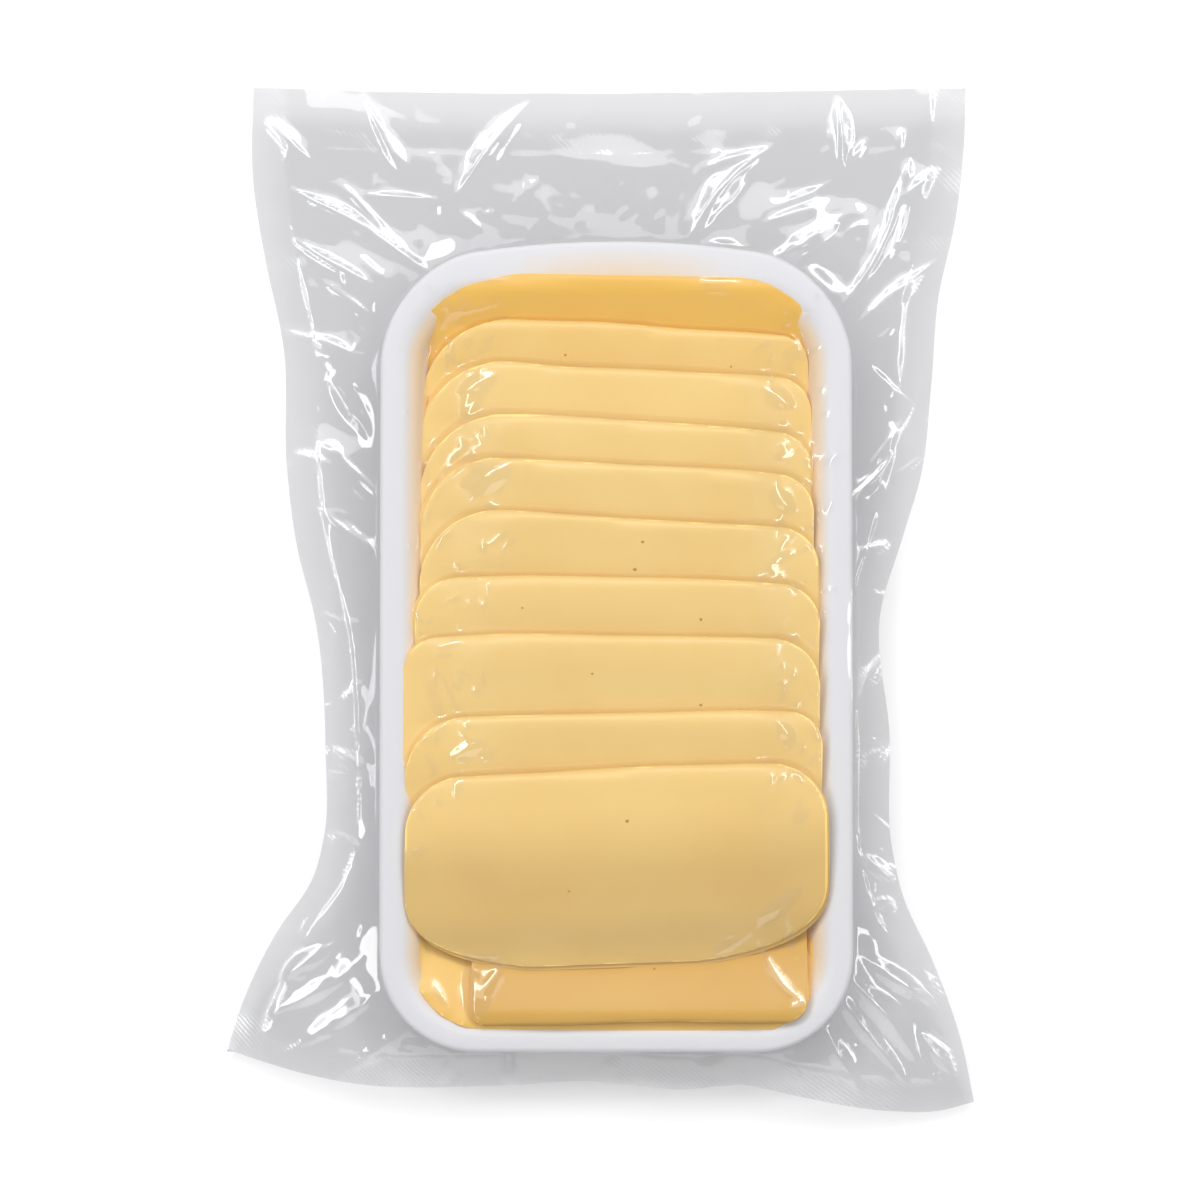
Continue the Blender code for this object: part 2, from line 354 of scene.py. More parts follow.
@dataclass(frozen=True)
class SemiHardCheese:
    """Young semi-hard cheese, sliced and folded.

    It gives the eye a smooth, slightly waxy pale yellow, multiplied by each slice's painted shade and
    bounce light, which make it warmer and deeper where the slices lie low in the tray.
    """

    pale: str = "F9D788"
    body: str = "F7D281"
    mottle_mm: float = 22.0
    grain_mm: float = 1.6
    grain_height_mm: float = 0.03
    roughness: float = 0.42

    def material(self) -> Material:
        """Builds the cheese's material.

        Returns:
            A soft, faintly mottled surface, multiplied by the painted shade and bounce light marked on
            each slice.
        """
        material, tree = new_material("semi_hard_cheese")
        place = add_node(tree, "TexCoord").outputs["Object"]
        painted_shade_tint = add_node(tree, "Attribute", {"attribute_name": "painted_shade_tint"})
        mottle = add_node(tree, "TexNoise", {"Vector": place, "Detail": 3.0,
                                             "Scale": 1 / (self.mottle_mm * MM)})
        blend = add_node(tree, "MapRange", {"Value": mottle.outputs["Fac"], "From Min": 0.35,
                                            "From Max": 0.7})
        top = add_node(tree, "Mix", {"data_type": "RGBA", 0: blend.outputs["Result"],
                                     6: linear_colour(self.body), 7: linear_colour(self.pale)})
        colour = add_node(tree, "Mix", {"data_type": "RGBA", "blend_type": "MULTIPLY", 0: 1.0,
                                        6: top.outputs[2], 7: painted_shade_tint.outputs["Color"]})
        grain = add_node(tree, "TexNoise", {"Vector": place, "Detail": 2.0,
                                            "Scale": 1 / (self.grain_mm * MM)})
        relief = add_node(tree, "Bump", {"Height": grain.outputs["Fac"], "Strength": 0.5,
                                         "Distance": self.grain_height_mm * MM})
        surface = add_node(tree, "BsdfPrincipled", {
            "Base Color": colour.outputs[2], "Roughness": self.roughness, "IOR": 1.45,
            "Normal": relief.outputs["Normal"]})
        add_node(tree, "OutputMaterial", {"Surface": surface.outputs[0]})
        return material


@dataclass(frozen=True)
class FoamedPolystyrene:
    """White foamed polystyrene sheet, thermoformed.

    It gives the eye a cool satin white with the faint relief of its closed beads.
    """

    colour: str = "E6E6E8"
    # Painted bounce light from the cheese, on the tray's wall.
    painted_bounce_colour: str = "F3D3A2"
    bead_mm: float = 1.3
    bead_height_mm: float = 0.06
    roughness: float = 0.5

    def material(self) -> Material:
        """Builds the foam's material.

        Returns:
            A satin white with a fine bead relief, warmed by painted bounce light from the slices where
            the tray marks it.
        """
        material, tree = new_material("foamed_polystyrene")
        place = add_node(tree, "TexCoord").outputs["Object"]
        beads = add_node(tree, "TexVoronoi", {"Scale": 1 / (self.bead_mm * MM), "Vector": place})
        relief = add_node(tree, "Bump", {"Height": beads.outputs["Distance"], "Strength": 0.4,
                                         "Distance": self.bead_height_mm * MM})
        painted_bounce = add_node(tree, "Attribute", {"attribute_name": "painted_bounce"})
        colour = add_node(tree, "Mix", {"data_type": "RGBA", 0: painted_bounce.outputs["Fac"],
                                        6: linear_colour(self.colour),
                                        7: linear_colour(self.painted_bounce_colour)})
        surface = add_node(tree, "BsdfPrincipled", {
            "Base Color": colour.outputs[2], "Roughness": self.roughness, "IOR": 1.5,
            "Normal": relief.outputs["Normal"]})
        add_node(tree, "OutputMaterial", {"Surface": surface.outputs[0]})
        return material


@dataclass(frozen=True)
class PlainFinish:
    """A plain matt colour, for the studio's paper and the painted shade of the pits in the cheese."""

    name: str
    colour: str
    roughness: float = 0.9

    def material(self) -> Material:
        """Builds the plain material.

        Returns:
            One colour all over.
        """
        material, tree = new_material(self.name)
        surface = add_node(tree, "BsdfPrincipled", {"Base Color": linear_colour(self.colour),
                                                    "Roughness": self.roughness})
        add_node(tree, "OutputMaterial", {"Surface": surface.outputs[0]})
        return material


# ---------------------------------------------------------------- tray


@dataclass
class FoamTray:
    """Shallow foam tray: a sheet pressed into a floor, tapered walls and a flat rim."""

    centre: tuple[float, float] = (4.2, -16.2)
    width: float = 122.4
    length: float = 202.6
    corner: float = 25.0
    end_bow: float = 7.5
    rim_height: float = 14.2
    rim_band: float = 4.8
    far_band: float = 5.0
    wall_run: float = 10.5
    # Share of the wall's run and of its depth that each part of it takes, from the rim inwards.
    wall_parts: tuple = ((0.5, 0.25), (0.35, 0.6), (0.15, 0.15))
    wall_foot: float = 9.0
    pressed_down: float = 0.74
    floor_height: float = 3.1
    sheet: float = 2.8
    edge_round: float = 1.35
    bevel_over: float = 18.0
    painted_bounce_share: float = 0.8
    corner_steps: int = 14
    end_steps: int = 10
    side_steps: int = 4

    def distance(self, x: Field, y: Field, inset: float = 0.0, bow: float | None = None) -> Field:
        """Distance outside the rim, negative over the tray.

        Args:
            x: Places across.
            y: Places along.
            inset: How far the line measured from is drawn in from the rim's edge.
            bow: How far the far end bows out, or None for the rim's own bow.

        Returns:
            The distance at each place.
        """
        bow = self.end_bow if bow is None else bow
        across = np.abs(x - self.centre[0])
        half_x, half_y = self.width / 2 - inset, self.length / 2 - inset
        corner = self.corner - inset
        along = y - self.centre[1]
        shift = bow * np.clip(1 - (across / half_x) ** 2, 0, 1)
        along = np.abs(along - shift * smooth_step(0.3, 1.0, along / half_y))
        dx = across - half_x + corner
        dy = along - half_y + corner
        outside = np.hypot(np.maximum(dx, 0), np.maximum(dy, 0))
        return outside + np.minimum(np.maximum(dx, dy), 0) - corner

    def inner_edge(self, x: Field, y: Field) -> Field:
        """Distance outside the rim's inner edge, where the wall starts."""
        return self.distance(x, y, self.rim_band, self.end_bow - self.far_band)

    def inside_height(self, x: Field, y: Field) -> Field:
        """Height that the slices lie at: the floor, and the wall eased as they press on it.

        Args:
            x: Places across.
            y: Places along.

        Returns:
            The height at each place.
        """
        climb = smooth_step(-self.wall_foot, 1.0, self.inner_edge(x, y))
        climb = np.minimum(climb, self.pressed_down)
        return self.floor_height + (self.rim_height - self.floor_height) * climb

    def wall_height(self, x: Field, y: Field) -> Field:
        """Height of the pressed wall itself.

        Args:
            x: Places across.
            y: Places along.

        Returns:
            The height at each place.
        """
        parts = np.cumsum(((0.0, 0.0), *self.wall_parts), axis=0)
        inwards = np.clip(-self.inner_edge(x, y) / self.wall_run, 0, 1)
        dropped = np.interp(inwards, parts[:, 0], parts[:, 1])
        return self.rim_height - (self.rim_height - self.floor_height) * dropped

    def outline(self) -> Field:
        """Walks once round the rim.

        Returns:
            Rows of x and y, anticlockwise.
        """
        half_x, half_y = self.width / 2, self.length / 2
        inner_x, inner_y = half_x - self.corner, half_y - self.corner
        turns = np.linspace(0, math.pi / 2, self.corner_steps + 1)
        points = []
        quarters = ((1, 1, 0, self.end_steps), (-1, 1, 1, self.side_steps),
                    (-1, -1, 2, self.end_steps), (1, -1, 3, self.side_steps))
        for side_x, side_y, quarter, steps in quarters:
            for turn in turns + quarter * math.pi / 2:
                points.append((side_x * inner_x + self.corner * math.cos(turn),
                               side_y * inner_y + self.corner * math.sin(turn)))
            start = np.array(points[-1])
            onward = {0: (-inner_x, half_y), 1: (-half_x, -inner_y),
                      2: (inner_x, -half_y), 3: (half_x, inner_y)}[quarter]
            for i in range(1, steps):
                points.append(tuple(start + (np.array(onward) - start) * i / steps))
        points = np.array(points)
        bow = self.end_bow * np.clip(1 - (points[:, 0] / half_x) ** 2, 0, 1)
        points[:, 1] += bow * smooth_step(0.3, 1.0, points[:, 1] / half_y)
        return points + np.array(self.centre)

    def build(self, material: Material) -> Piece:
        """Presses the tray from one sheet and dresses it.

        Args:
            material: Its finish.

        Returns:
            The finished tray.
        """
        outline = self.outline()
        deselect_all()
        bpy.ops.mesh.primitive_circle_add(vertices=len(outline), radius=1.0, fill_type="NGON")
        tray = bpy.context.object
        tray.name = tray.data.name = "foam_tray"
        set_points(tray, self.walk_order(tray, outline) * MM)
        wall = self.rim_height - self.floor_height
        bpy.ops.object.mode_set(mode="EDIT")
        bpy.ops.mesh.select_all(action="SELECT")
        bpy.ops.mesh.inset(thickness=self.rim_band * MM, depth=0.0)
        bpy.ops.object.mode_set(mode="OBJECT")
        points = get_points(tray) / MM
        x, y = points[:, 0], points[:, 1]
        inner = self.distance(x, y) < -0.5 * self.rim_band
        bow = np.clip(1 - ((x - self.centre[0]) / (self.width / 2 - self.rim_band)) ** 2, 0, 1)
        far = smooth_step(0.3, 0.96, (y - self.centre[1]) / (self.length / 2))
        points[:, 1] = y - np.where(inner, self.far_band * bow * far, 0)
        set_points(tray, points * MM)
        bpy.ops.object.mode_set(mode="EDIT")
        for run, depth in self.wall_parts:
            bpy.ops.mesh.inset(thickness=run * self.wall_run * MM, depth=-depth * wall * MM)
        bpy.ops.object.mode_set(mode="OBJECT")
        apply_modifier(tray, "SOLIDIFY", thickness=self.sheet * MM, offset=-1.0,
                       use_even_offset=True)
        apply_modifier(tray, "BEVEL", width=self.edge_round * MM, segments=4,
                       limit_method="ANGLE", angle_limit=math.radians(self.bevel_over))
        self.mark_painted_bounce(tray)
        shade(tray, 40)
        finish_piece(tray, material)
        return tray

    def mark_painted_bounce(self, tray: Piece) -> None:
        """Marks where painted bounce light from the slices tints the tray's wall warm.

        Args:
            tray: The tray, already pressed to shape.
        """
        points = get_points(tray) / MM
        edge = self.distance(points[:, 0], points[:, 1], self.rim_band)
        inside = smooth_step(-1.5, -4.5, edge) * smooth_step(6.0, 7.0, points[:, 2])
        mark_points(tray, "painted_bounce", self.painted_bounce_share * inside)

    def walk_order(self, ring: Piece, outline: Field) -> Field:
        """Matches a new circle's points to the outline, so that its face keeps facing up.

        Args:
            ring: The circle.
            outline: Rows of x and y, anticlockwise.

        Returns:
            Rows of x, y and z in the circle's own order.
        """
        points = get_points(ring)
        rank = np.empty(len(points), dtype=int)
        rank[np.argsort(np.arctan2(points[:, 1], points[:, 0]))] = np.arange(len(points))
        return np.column_stack([outline, np.full(len(outline), self.rim_height)])[rank]


# ---------------------------------------------------------------- slices


class End(Enum):
    """Which end of the tray a slice's fold faces."""

    FAR = 1
    NEAR = -1


@dataclass
class HeightRaster:
    """A field of heights over the pack, at even steps."""

    low: tuple[float, float]
    high: tuple[float, float]
    step: float
    x: Field = field(init=False)
    y: Field = field(init=False)

    def __post_init__(self) -> None:
        """Lays out the field's places."""
        self.x = np.arange(self.low[0], self.high[0] + self.step, self.step)
        self.y = np.arange(self.low[1], self.high[1] + self.step, self.step)

    def window(self, ends_x: list[float], ends_y: list[float], room: float) -> tuple[slice, slice]:
        """Rows and columns between the ends, with some room round them."""
        rows = slice(*np.searchsorted(self.y, [min(ends_y) - room, max(ends_y) + room]))
        return rows, slice(*np.searchsorted(self.x, [min(ends_x) - room, max(ends_x) + room]))

    def places(self) -> tuple[Field, Field]:
        """X and Y of every place."""
        return tuple(np.meshgrid(self.x, self.y))

    def read(self, field_of: Field, x: Field, y: Field) -> Field:
        """Reads a field between its places.

        Args:
            field_of: Values at the raster's places.
            x: Places across.
            y: Places along.

        Returns:
            The value at each place.
        """
        fx = np.clip((x - self.x[0]) / self.step, 0, len(self.x) - 1.001)
        fy = np.clip((y - self.y[0]) / self.step, 0, len(self.y) - 1.001)
        i, j = fx.astype(int), fy.astype(int)
        tx, ty = fx - i, fy - j
        return ((field_of[j, i] * (1 - tx) + field_of[j, i + 1] * tx) * (1 - ty)
                + (field_of[j + 1, i] * (1 - tx) + field_of[j + 1, i + 1] * tx) * ty)


@dataclass
class FoldedSlice:
    """One slice folded in half: two leaves joined by a round fold."""

    number: int
    fold_y: float
    middle_x: float
    slope: float
    skew: float = 0.0
    faces: End = End.FAR
    width: float = 105.0
    depth: float = 50.0
    leaf: float = 1.75
    thickness: float = 3.7
    left_corner: float = 20.0
    right_corner: float = 9.0
    end_round: float = 20.0
    end_taper: float = 0.951
    end_power: float = 2.5
    under_longer: float = 1.0
    left_squeeze: float = 0.5
    right_squeeze: float = 0.42
    end_squeeze: float = 0.5
    fold_squeeze: float = 0.2
    # Share of the way across, or distance, over which each of those squeezes works.
    left_from: float = 0.45
    right_from: float = 0.62
    end_reach: float = 14.0
    fold_reach: float = 2.2
    fold_depth: float = 0.55
    least_kept: float = 0.3
    wall_dent: float = 1.2
    side_wave: float = 0.3
    fold_waves: tuple[float, float] = (0.4, 0.14)
    hump: float = 0.5
    # Painted shade and bounce light: how far the slice's colour deepens towards its deep colour.
    painted_deepening: float = 0.0
    # Painted shade: darkening all over, towards the middle and towards the end away from the fold.
    shade: tuple[float, float, float] = (0.0, 0.0, 0.0)
    # Hue of the painted darkening, which takes more blue than red.
    painted_shade_hue: tuple[float, float, float] = (0.85, 1.0, 1.3)
    # Deep colour that the painted shade and bounce light turn the cheese towards.
    deep: tuple[float, float, float] = (0.97, 0.80, 0.30)
    # Painted shade in the crevice: how much deeper and darker the slice is at the foot of a fold.
    fold_foot_painted_deepening: float = 0.25
    fold_foot_painted_shade: float = 0.16
    # Where the slice on top starts: fold's Y, middle's X, slope, width and corners.
    next_fold: tuple[float, ...] | None = None
    edge_round: float = 0.5
    columns: int = 60
    rows: int = 90

    def half_width(self, across: Field, along: Field, length: float) -> Field:
        """Half the slice's width at a place along a leaf.

        Args:
            across: Share of the way across, -1 to 1.
            along: Distance from the fold.
            length: The leaf's length.

        Returns:
            The half width, less where a corner is rounded.
        """
        corner = np.where(across < 0, self.left_corner, self.right_corner)
        near = np.clip(along, 0, corner)
        half = self.width / 2 - corner + np.sqrt(corner ** 2 - (corner - near) ** 2)
        to_end = np.clip(1 - (length - along) / self.end_round, 0, 1)
        return half * (1 - self.end_taper * to_end ** self.end_power) ** (1 / self.end_power)

    def squeezed(self, across: Field, back: Field) -> Field:
        """How much of its thickness the slice keeps, as the film presses its edges flat.

        Args:
            across: Distance across from the slice's middle.
            back: Distance from its fold.

        Returns:
            The share kept.
        """
        share = across / (self.width / 2)
        left = self.left_squeeze * smooth_step(self.left_from, 1.0, -share)
        right = self.right_squeeze * smooth_step(self.right_from, 1.0, share)
        end = self.end_squeeze * smooth_step(self.depth - self.end_reach, self.depth, back)
        fold = self.fold_squeeze * np.exp(-np.maximum(back, 0) / self.fold_reach)
        return np.maximum(1 - left - right - end - fold, self.least_kept)

    def arch(self, back: Field) -> Field:
        """How far the slice arches up off what is under it, at a distance from its fold."""
        return self.hump * np.sin(math.pi * np.clip(back / self.depth, 0, 1))

    def covers(self, x: Field, y: Field) -> Field:
        """Tells which places the slice lies over.

        Args:
            x: Places across.
            y: Places along.

        Returns:
            True where the slice lies.
        """
        across = x - self.middle_x
        back = (self.fold_y + self.slope * across - y) * self.faces.value
        half = self.half_width(np.sign(across), back, self.depth)
        return (back > 0) & (back < self.depth) & (np.abs(across) < half)

    def build(self, raster: HeightRaster, underside: Field, tray: FoamTray,
              material: Material) -> Piece:
        """Folds the slice, lays it on what is under it and dresses it.

        Args:
            raster: The places of the underside's heights.
            underside: Heights of the slice's underside.
            tray: The tray, whose wall the slice's ends sink into a little.
            material: Its finish.

        Returns:
            The finished slice.
        """
        piece = new_grid(f"cheese_slice_{self.number:02d}", self.columns, self.rows)
        canonical = get_points(piece)
        u = canonical[:, 0] * 2
        v = canonical[:, 1] * 2
        radius = (self.thickness - self.leaf) / 2
        arc = radius * math.pi / 2
        reach = np.sign(v) * (0.42 * (1 - np.cos(math.pi * np.abs(v))) + 0.16 * np.abs(v))
        length = np.where(reach < 0, self.depth + self.under_longer, self.depth) - radius + arc
        run = reach * length
        turn = np.clip(run / radius, -math.pi / 2, math.pi / 2)
        straight = np.maximum(np.abs(run) - arc, 0)
        back = self.fold_depth * radius * (1 - np.cos(turn)) + straight
        rise = radius * np.sin(turn)
        x = u * self.half_width(u, back, length - arc + radius)
        rng = np.random.default_rng(SEED + self.number)
        x, back = self.soften(x, back, rise, u, rng)
        kept = self.squeezed(x, back)
        y = self.fold_y + self.slope * x - back * self.faces.value
        under = raster.read(underside, self.middle_x + x, y)
        z = under + self.arch(back) + kept * (self.thickness / 2 + rise)
        z = np.maximum(z, tray.wall_height(self.middle_x + x, y) - self.wall_dent)
        set_points(piece, np.column_stack([self.middle_x + x, y, z]) * MM)
        if self.faces is End.NEAR:
            turn_over(piece)
        # Painted shade and bounce light, stored for the cheese's finish to multiply its colour by.
        attribute = piece.data.attributes.new("painted_shade_tint", "FLOAT_COLOR", "POINT")
        attribute.data.foreach_set("color", self.painted_shade_tint(u, x, y, back, rise).ravel())
        group = piece.vertex_groups.new(name="kept")
        for vertex, share in enumerate(kept):
            group.add([vertex], float(share), "REPLACE")
        apply_modifier(piece, "SOLIDIFY", thickness=self.leaf * MM, offset=0.0,
                       vertex_group="kept")
        apply_modifier(piece, "BEVEL", width=self.edge_round * MM, segments=3,
                       limit_method="ANGLE", angle_limit=math.radians(50))
        shade(piece, 60)
        finish_piece(piece, material)
        return piece

    def painted_shade_tint(self, u: Field, x: Field, y: Field, back: Field, rise: Field) -> Field:
        """Paints shade and bounce light into the slice's colour: deeper low in the tray and on the under
        leaf, darker towards its ends and where the next one starts.

        Args:
            u: Share of the way across, -1 to 1.
            x: Places across from the slice's middle.
            y: Places along.
            back: Distances from the fold.
            rise: Heights about the slice's middle.

        Returns:
            A row of red, green, blue and 1 for each point, to multiply the cheese's colour by.
        """
        # The under leaf is painted deeper, as shade.
        painted_deepening = self.painted_deepening + 0.1 * (rise < 0)
        whole, middle, end = self.shade
        share = back / self.depth
        # Painted shade: darkening all over, towards the middle and towards the end.
        painted_darkening = whole + middle * smooth_step(0.15, 0.5, share) + end * smooth_step(0.6, 1.0, share)
        # Painted crevice shade at the foot of the slice's own fold and of the next slice's fold.
        front = smooth_step(1.4, 0.2, back) * smooth_step(0.3 * self.thickness, 0, rise)
        if self.next_fold is not None:
            fold_y, middle_x, slope, width, left, right = self.next_fold
            across = self.middle_x + x - middle_x
            ahead = y - fold_y - slope * across
            met = (smooth_step(0, left, across + width / 2)
                   * smooth_step(0, right, width / 2 - across))
            line = np.exp(-np.maximum(ahead, 0) / self.fold_reach) * (ahead > -2.0)
            front = np.maximum(front, met * line)
        painted_deepening = np.clip(painted_deepening + self.fold_foot_painted_deepening * front, 0, 1)[:, None]
        painted_darkening = painted_darkening[:, None] * np.array(self.painted_shade_hue) + self.fold_foot_painted_shade * front[:, None]
        colour = (1 - painted_deepening * (1 - np.array(self.deep))) * (1 - painted_darkening)
        return np.hstack([colour, np.ones((len(u), 1))]).astype(np.float32)

    def soften(self, x: Field, back: Field, rise: Field, u: Field,
               rng: Random) -> tuple[Field, Field]:
        """Makes the slice as uneven as soft cheese: wavy fold, wavy sides and a skewed leaf.

        Args:
            x: Places across.
            back: Distances from the fold.
            rise: Heights about the slice's middle.
            u: Share of the way across, -1 to 1.
            rng: The slice's own random numbers.

        Returns:
            The softened x and back.
        """
        phase = rng.uniform(0, 2 * math.pi, 4)
        size = rng.uniform(0.4, 1.0, 4)
        side_wave = np.sin(back / 9.0 + phase[0]) * size[0] * self.side_wave
        slow_wave, quick_wave = self.fold_waves
        fold_wave = (np.sin(u * 2.6 + phase[1]) * size[1] * slow_wave
                     + np.sin(u * 6.1 + phase[2]) * size[2] * quick_wave)
        under = smooth_step(0, -self.thickness / 2, rise)
        x = x + side_wave * smooth_step(0.6, 1.0, np.abs(u)) * np.sign(u) + self.skew * under
        return x, back + fold_wave * np.exp(-back / 12.0)


@dataclass
class SliceStack:
    """The shingled slices, each lying on the ones before it, over two more at the near end."""

    room: tuple[float, float] = (4.0, 10.0)
    step: float = 2.5
    stiffness: float = 70.0
    settling: int = 500
    # Fold's Y, middle's X, fold's slope, skew, width, left corner, right corner, painted deepening of
    # shade and bounce light.
    placed: tuple = ((83.5, 3.9, -0.015, -1.0, 98.3, 7.0, 9.0, 0.92),
                     (70.4, 3.8, -0.050, 1.0, 100.5, 23.0, 7.0, 0.25),
                     (59.0, 4.1, -0.056, -1.4, 101.5, 22.0, 8.0, 0.05),
                     (45.3, 4.0, -0.060, 1.2, 101.5, 22.0, 8.0, 0.0),
                     (33.8, 4.5, -0.058, -1.8, 102.2, 20.0, 9.0, 0.0),
                     (19.9, 4.9, -0.056, 0.8, 103.0, 20.0, 9.0, 0.0),
                     (4.2, 4.4, -0.024, -2.0, 105.0, 12.0, 10.0, 0.0),
                     (-10.7, 2.9, -0.006, -1.5, 108.0, 10.0, 12.0, 0.0),
                     (-30.7, 3.5, 0.014, -1.2, 107.8, 16.0, 9.0, 0.05),
                     (-45.1, 4.1, 0.036, 1.0, 108.7, 14.0, 14.0, 0.08))

    def slices(self) -> list[FoldedSlice]:
        """Lists the slices in the order they were laid.

        Returns:
            The slices, the two at the near end first.
        """
        count = len(self.placed)
        # The near slices are painted deeper, and the upper one darker all over, as shade and bounce
        # light.
        laid = [FoldedSlice(count + 2, -111.8, 3.5, 0.0, faces=End.NEAR, width=104.0,
                            left_corner=18.0, right_corner=14.0, left_squeeze=0.2,
                            right_squeeze=0.2, painted_deepening=0.6),
                FoldedSlice(count + 1, -109.6, 10.2, 0.01, faces=End.NEAR, width=87.0,
                            left_corner=4.0, right_corner=6.0, left_squeeze=0.3,
                            right_squeeze=0.3, painted_deepening=0.85, shade=(0.23, 0.0, 0.0), hump=-0.6)]
        for number, row in enumerate(self.placed, 1):
            fold_y, middle_x, slope, skew, width, left, right, painted_deepening = row
            one = FoldedSlice(number, fold_y, middle_x, slope, skew, width=width, hump=0.4,
                              left_corner=left, right_corner=right, painted_deepening=painted_deepening)
            if number < count:
                fold_y, middle_x, slope, _, width, left, right, _ = self.placed[number]
                one.next_fold = (fold_y, middle_x, slope, width, left, right)
            else:
                # The top slice gets painted shade towards its middle, where it curves away from the far
                # lights.
                one = replace(one, hump=2.4, end_squeeze=0.66, edge_round=0.7,
                              shade=(0.0, 0.2, 0.0))
            laid.append(one)
        return laid

    def rest_on(self, top: Field, covered: Field) -> Field:
        """Lets a slice bend down onto what is under it.

        Args:
            top: Heights it can't pass.
            covered: True where the slice lies.

        Returns:
            The heights of its underside.
        """
        weight = covered.astype(float)
        near = neighbour_sum(weight)
        load = self.step ** 2 / (4 * self.stiffness)
        height = np.where(covered, top, 0)
        for _ in range(self.settling):
            mean = neighbour_sum(height * weight) / np.maximum(near, 1)
            height = np.where(covered, np.maximum(top, mean - load), 0)
        return self.spread(height, covered)

    @staticmethod
    def spread(height: Field, covered: Field) -> Field:
        """Carries the heights a little way past the slice's outline, for its wavy edges.

        Args:
            height: Heights where the slice lies.
            covered: True where it lies.

        Returns:
            Heights everywhere near it.
        """
        weight = covered.astype(float)
        for _ in range(4):
            sums = np.zeros_like(height)
            counts = np.zeros_like(height)
            for dy in (0, 1, 2):
                for dx in (0, 1, 2):
                    rows = slice(dy, dy + height.shape[0])
                    columns = slice(dx, dx + height.shape[1])
                    sums += np.pad(height * weight, 1)[rows, columns]
                    counts += np.pad(weight, 1)[rows, columns]
            new = (counts > 0) & (weight == 0)
            height = np.where(new, sums / np.maximum(counts, 1), height)
            weight = np.where(new, 1.0, weight)
        return height

    def build(self, tray: FoamTray, material: Material) -> list[Piece]:
        """Lays every slice in the tray.

        Args:
            tray: The tray.
            material: The cheese's finish.

        Returns:
            The finished slices.
        """
        room_x, room_y = self.room
        half_x, half_y = tray.width / 2 + room_x, tray.length / 2 + room_y
        raster = HeightRaster((tray.centre[0] - half_x, tray.centre[1] - half_y),
                              (tray.centre[0] + half_x, tray.centre[1] + half_y), self.step)
        x, y = raster.places()
        top = tray.inside_height(x, y)
        pieces = []
        for one in self.slices():
            covered = one.covers(x, y)
            underside = self.rest_on(top, covered)
            pieces.append(one.build(raster, underside, tray, material))
            across = x - one.middle_x
            back = (one.fold_y + one.slope * across - y) * one.faces.value
            upper = underside + one.arch(back) + one.squeezed(across, back) * one.thickness
            top = np.where(covered, np.maximum(top, upper), top)
        return pieces


@dataclass
class PaintedPinholeShade:
    """Pinholes left in the cheese by gas, as flat beads whose darker colour paints the shade inside each
    hole.
    """

    radius: float = 0.42
    flatness: float = 0.3
    # Across and along, on the slices' upper faces.
    places: tuple = ((-20.0, -3.0), (-2.0, -20.0), (26.0, -6.0), (7.0, -58.0), (-8.0, -76.0),
                     (14.0, -96.0), (11.0, 14.0), (9.0, 7.0), (34.0, 60.0), (-9.0, 63.0),
                     (26.0, -28.0))

    def build(self, slices: list[Piece], material: Material) -> Piece:
        """Sets the pits flush in the slices' upper faces.

        Args:
            slices: The slices.
            material: The pits' finish.

        Returns:
            All the pits, as one piece.
        """
        tree = surface_tree(slices)
        deselect_all()
        pits = []
        for number, (x, y) in enumerate(self.places):
            hit = tree.ray_cast(Vector((x, y, 90.0)), Vector((0, 0, -1)))[0]
            size = self.radius * (0.7 + 0.15 * (number % 4))
            bpy.ops.mesh.primitive_ico_sphere_add(subdivisions=2, radius=size * MM,
                                                  location=hit * MM,
                                                  scale=(1.0, 0.85, self.flatness))
            pits.append(bpy.context.object)
        for pit in pits:
            pit.select_set(True)
        bpy.context.view_layer.objects.active = pits[0]
        bpy.ops.object.join()
        bpy.ops.object.transform_apply(location=True, rotation=True, scale=True)
        pits[0].name = pits[0].data.name = "painted_pinhole_shades"
        shade(pits[0], 180)
        finish_piece(pits[0], material)
        return pits[0]


# ---------------------------------------------------------------- film


@dataclass(frozen=True)
class Pleat:
    """One crease of the film: a tent pointed at both ends, its flanks flat or drawn in."""

    start: tuple[float, float]
    end: tuple[float, float]
    half_width: float
    slope: float = 20.0
    bow: float = 0.0
    lean: float = 0.0
    belly: float = 0.5
    drawn_in: float = 1.25
    streak: float = 0.12

    def raise_on(self, raster: HeightRaster, height: Field) -> None:
        """Raises the crease on a field of heights, where it stands above what is there.

        Args:
            raster: The field's places.
            height: The heights, changed in place.
        """
        (x0, y0), (x1, y1) = self.start, self.end
        length = math.hypot(x1 - x0, y1 - y0)
        room = self.half_width * 1.6 + abs(self.bow) + raster.step
        rows, columns = raster.window([x0, x1], [y0, y1], room)
        x, y = np.meshgrid(raster.x[columns], raster.y[rows])
        ux, uy = (x1 - x0) / length, (y1 - y0) / length
        along = ((x - x0) * ux + (y - y0) * uy) / length
        aside = (y - y0) * ux - (x - x0) * uy - self.bow * 4 * along * (1 - along)
        inside = (along > 0) & (along < 1)
        share = np.where(inside, np.clip(along, 1e-6, 1), 1e-6)
        power = math.log(0.5) / math.log(self.belly)
        opening = np.where(inside, np.sin(math.pi * share ** power), 0) * self.half_width
        opening = np.maximum(opening, 1e-4)
        crest = opening * self.lean
        flank = np.where(aside > crest, (opening - aside) / (1 - self.lean),
                         (opening + aside) / (1 + self.lean))
        flank = np.clip(flank / opening, 0, 1)
        tent = opening * math.tan(math.radians(self.slope)) * flank ** self.drawn_in
        wander = 1.6 * np.sin(along * length / 6.0 + x0)
        tent += self.streak * np.sin(aside * 2.1 + wander) * flank * (1 - flank) * 4
        block = height[rows, columns]
        np.maximum(block, np.where(inside, tent, 0), out=block)


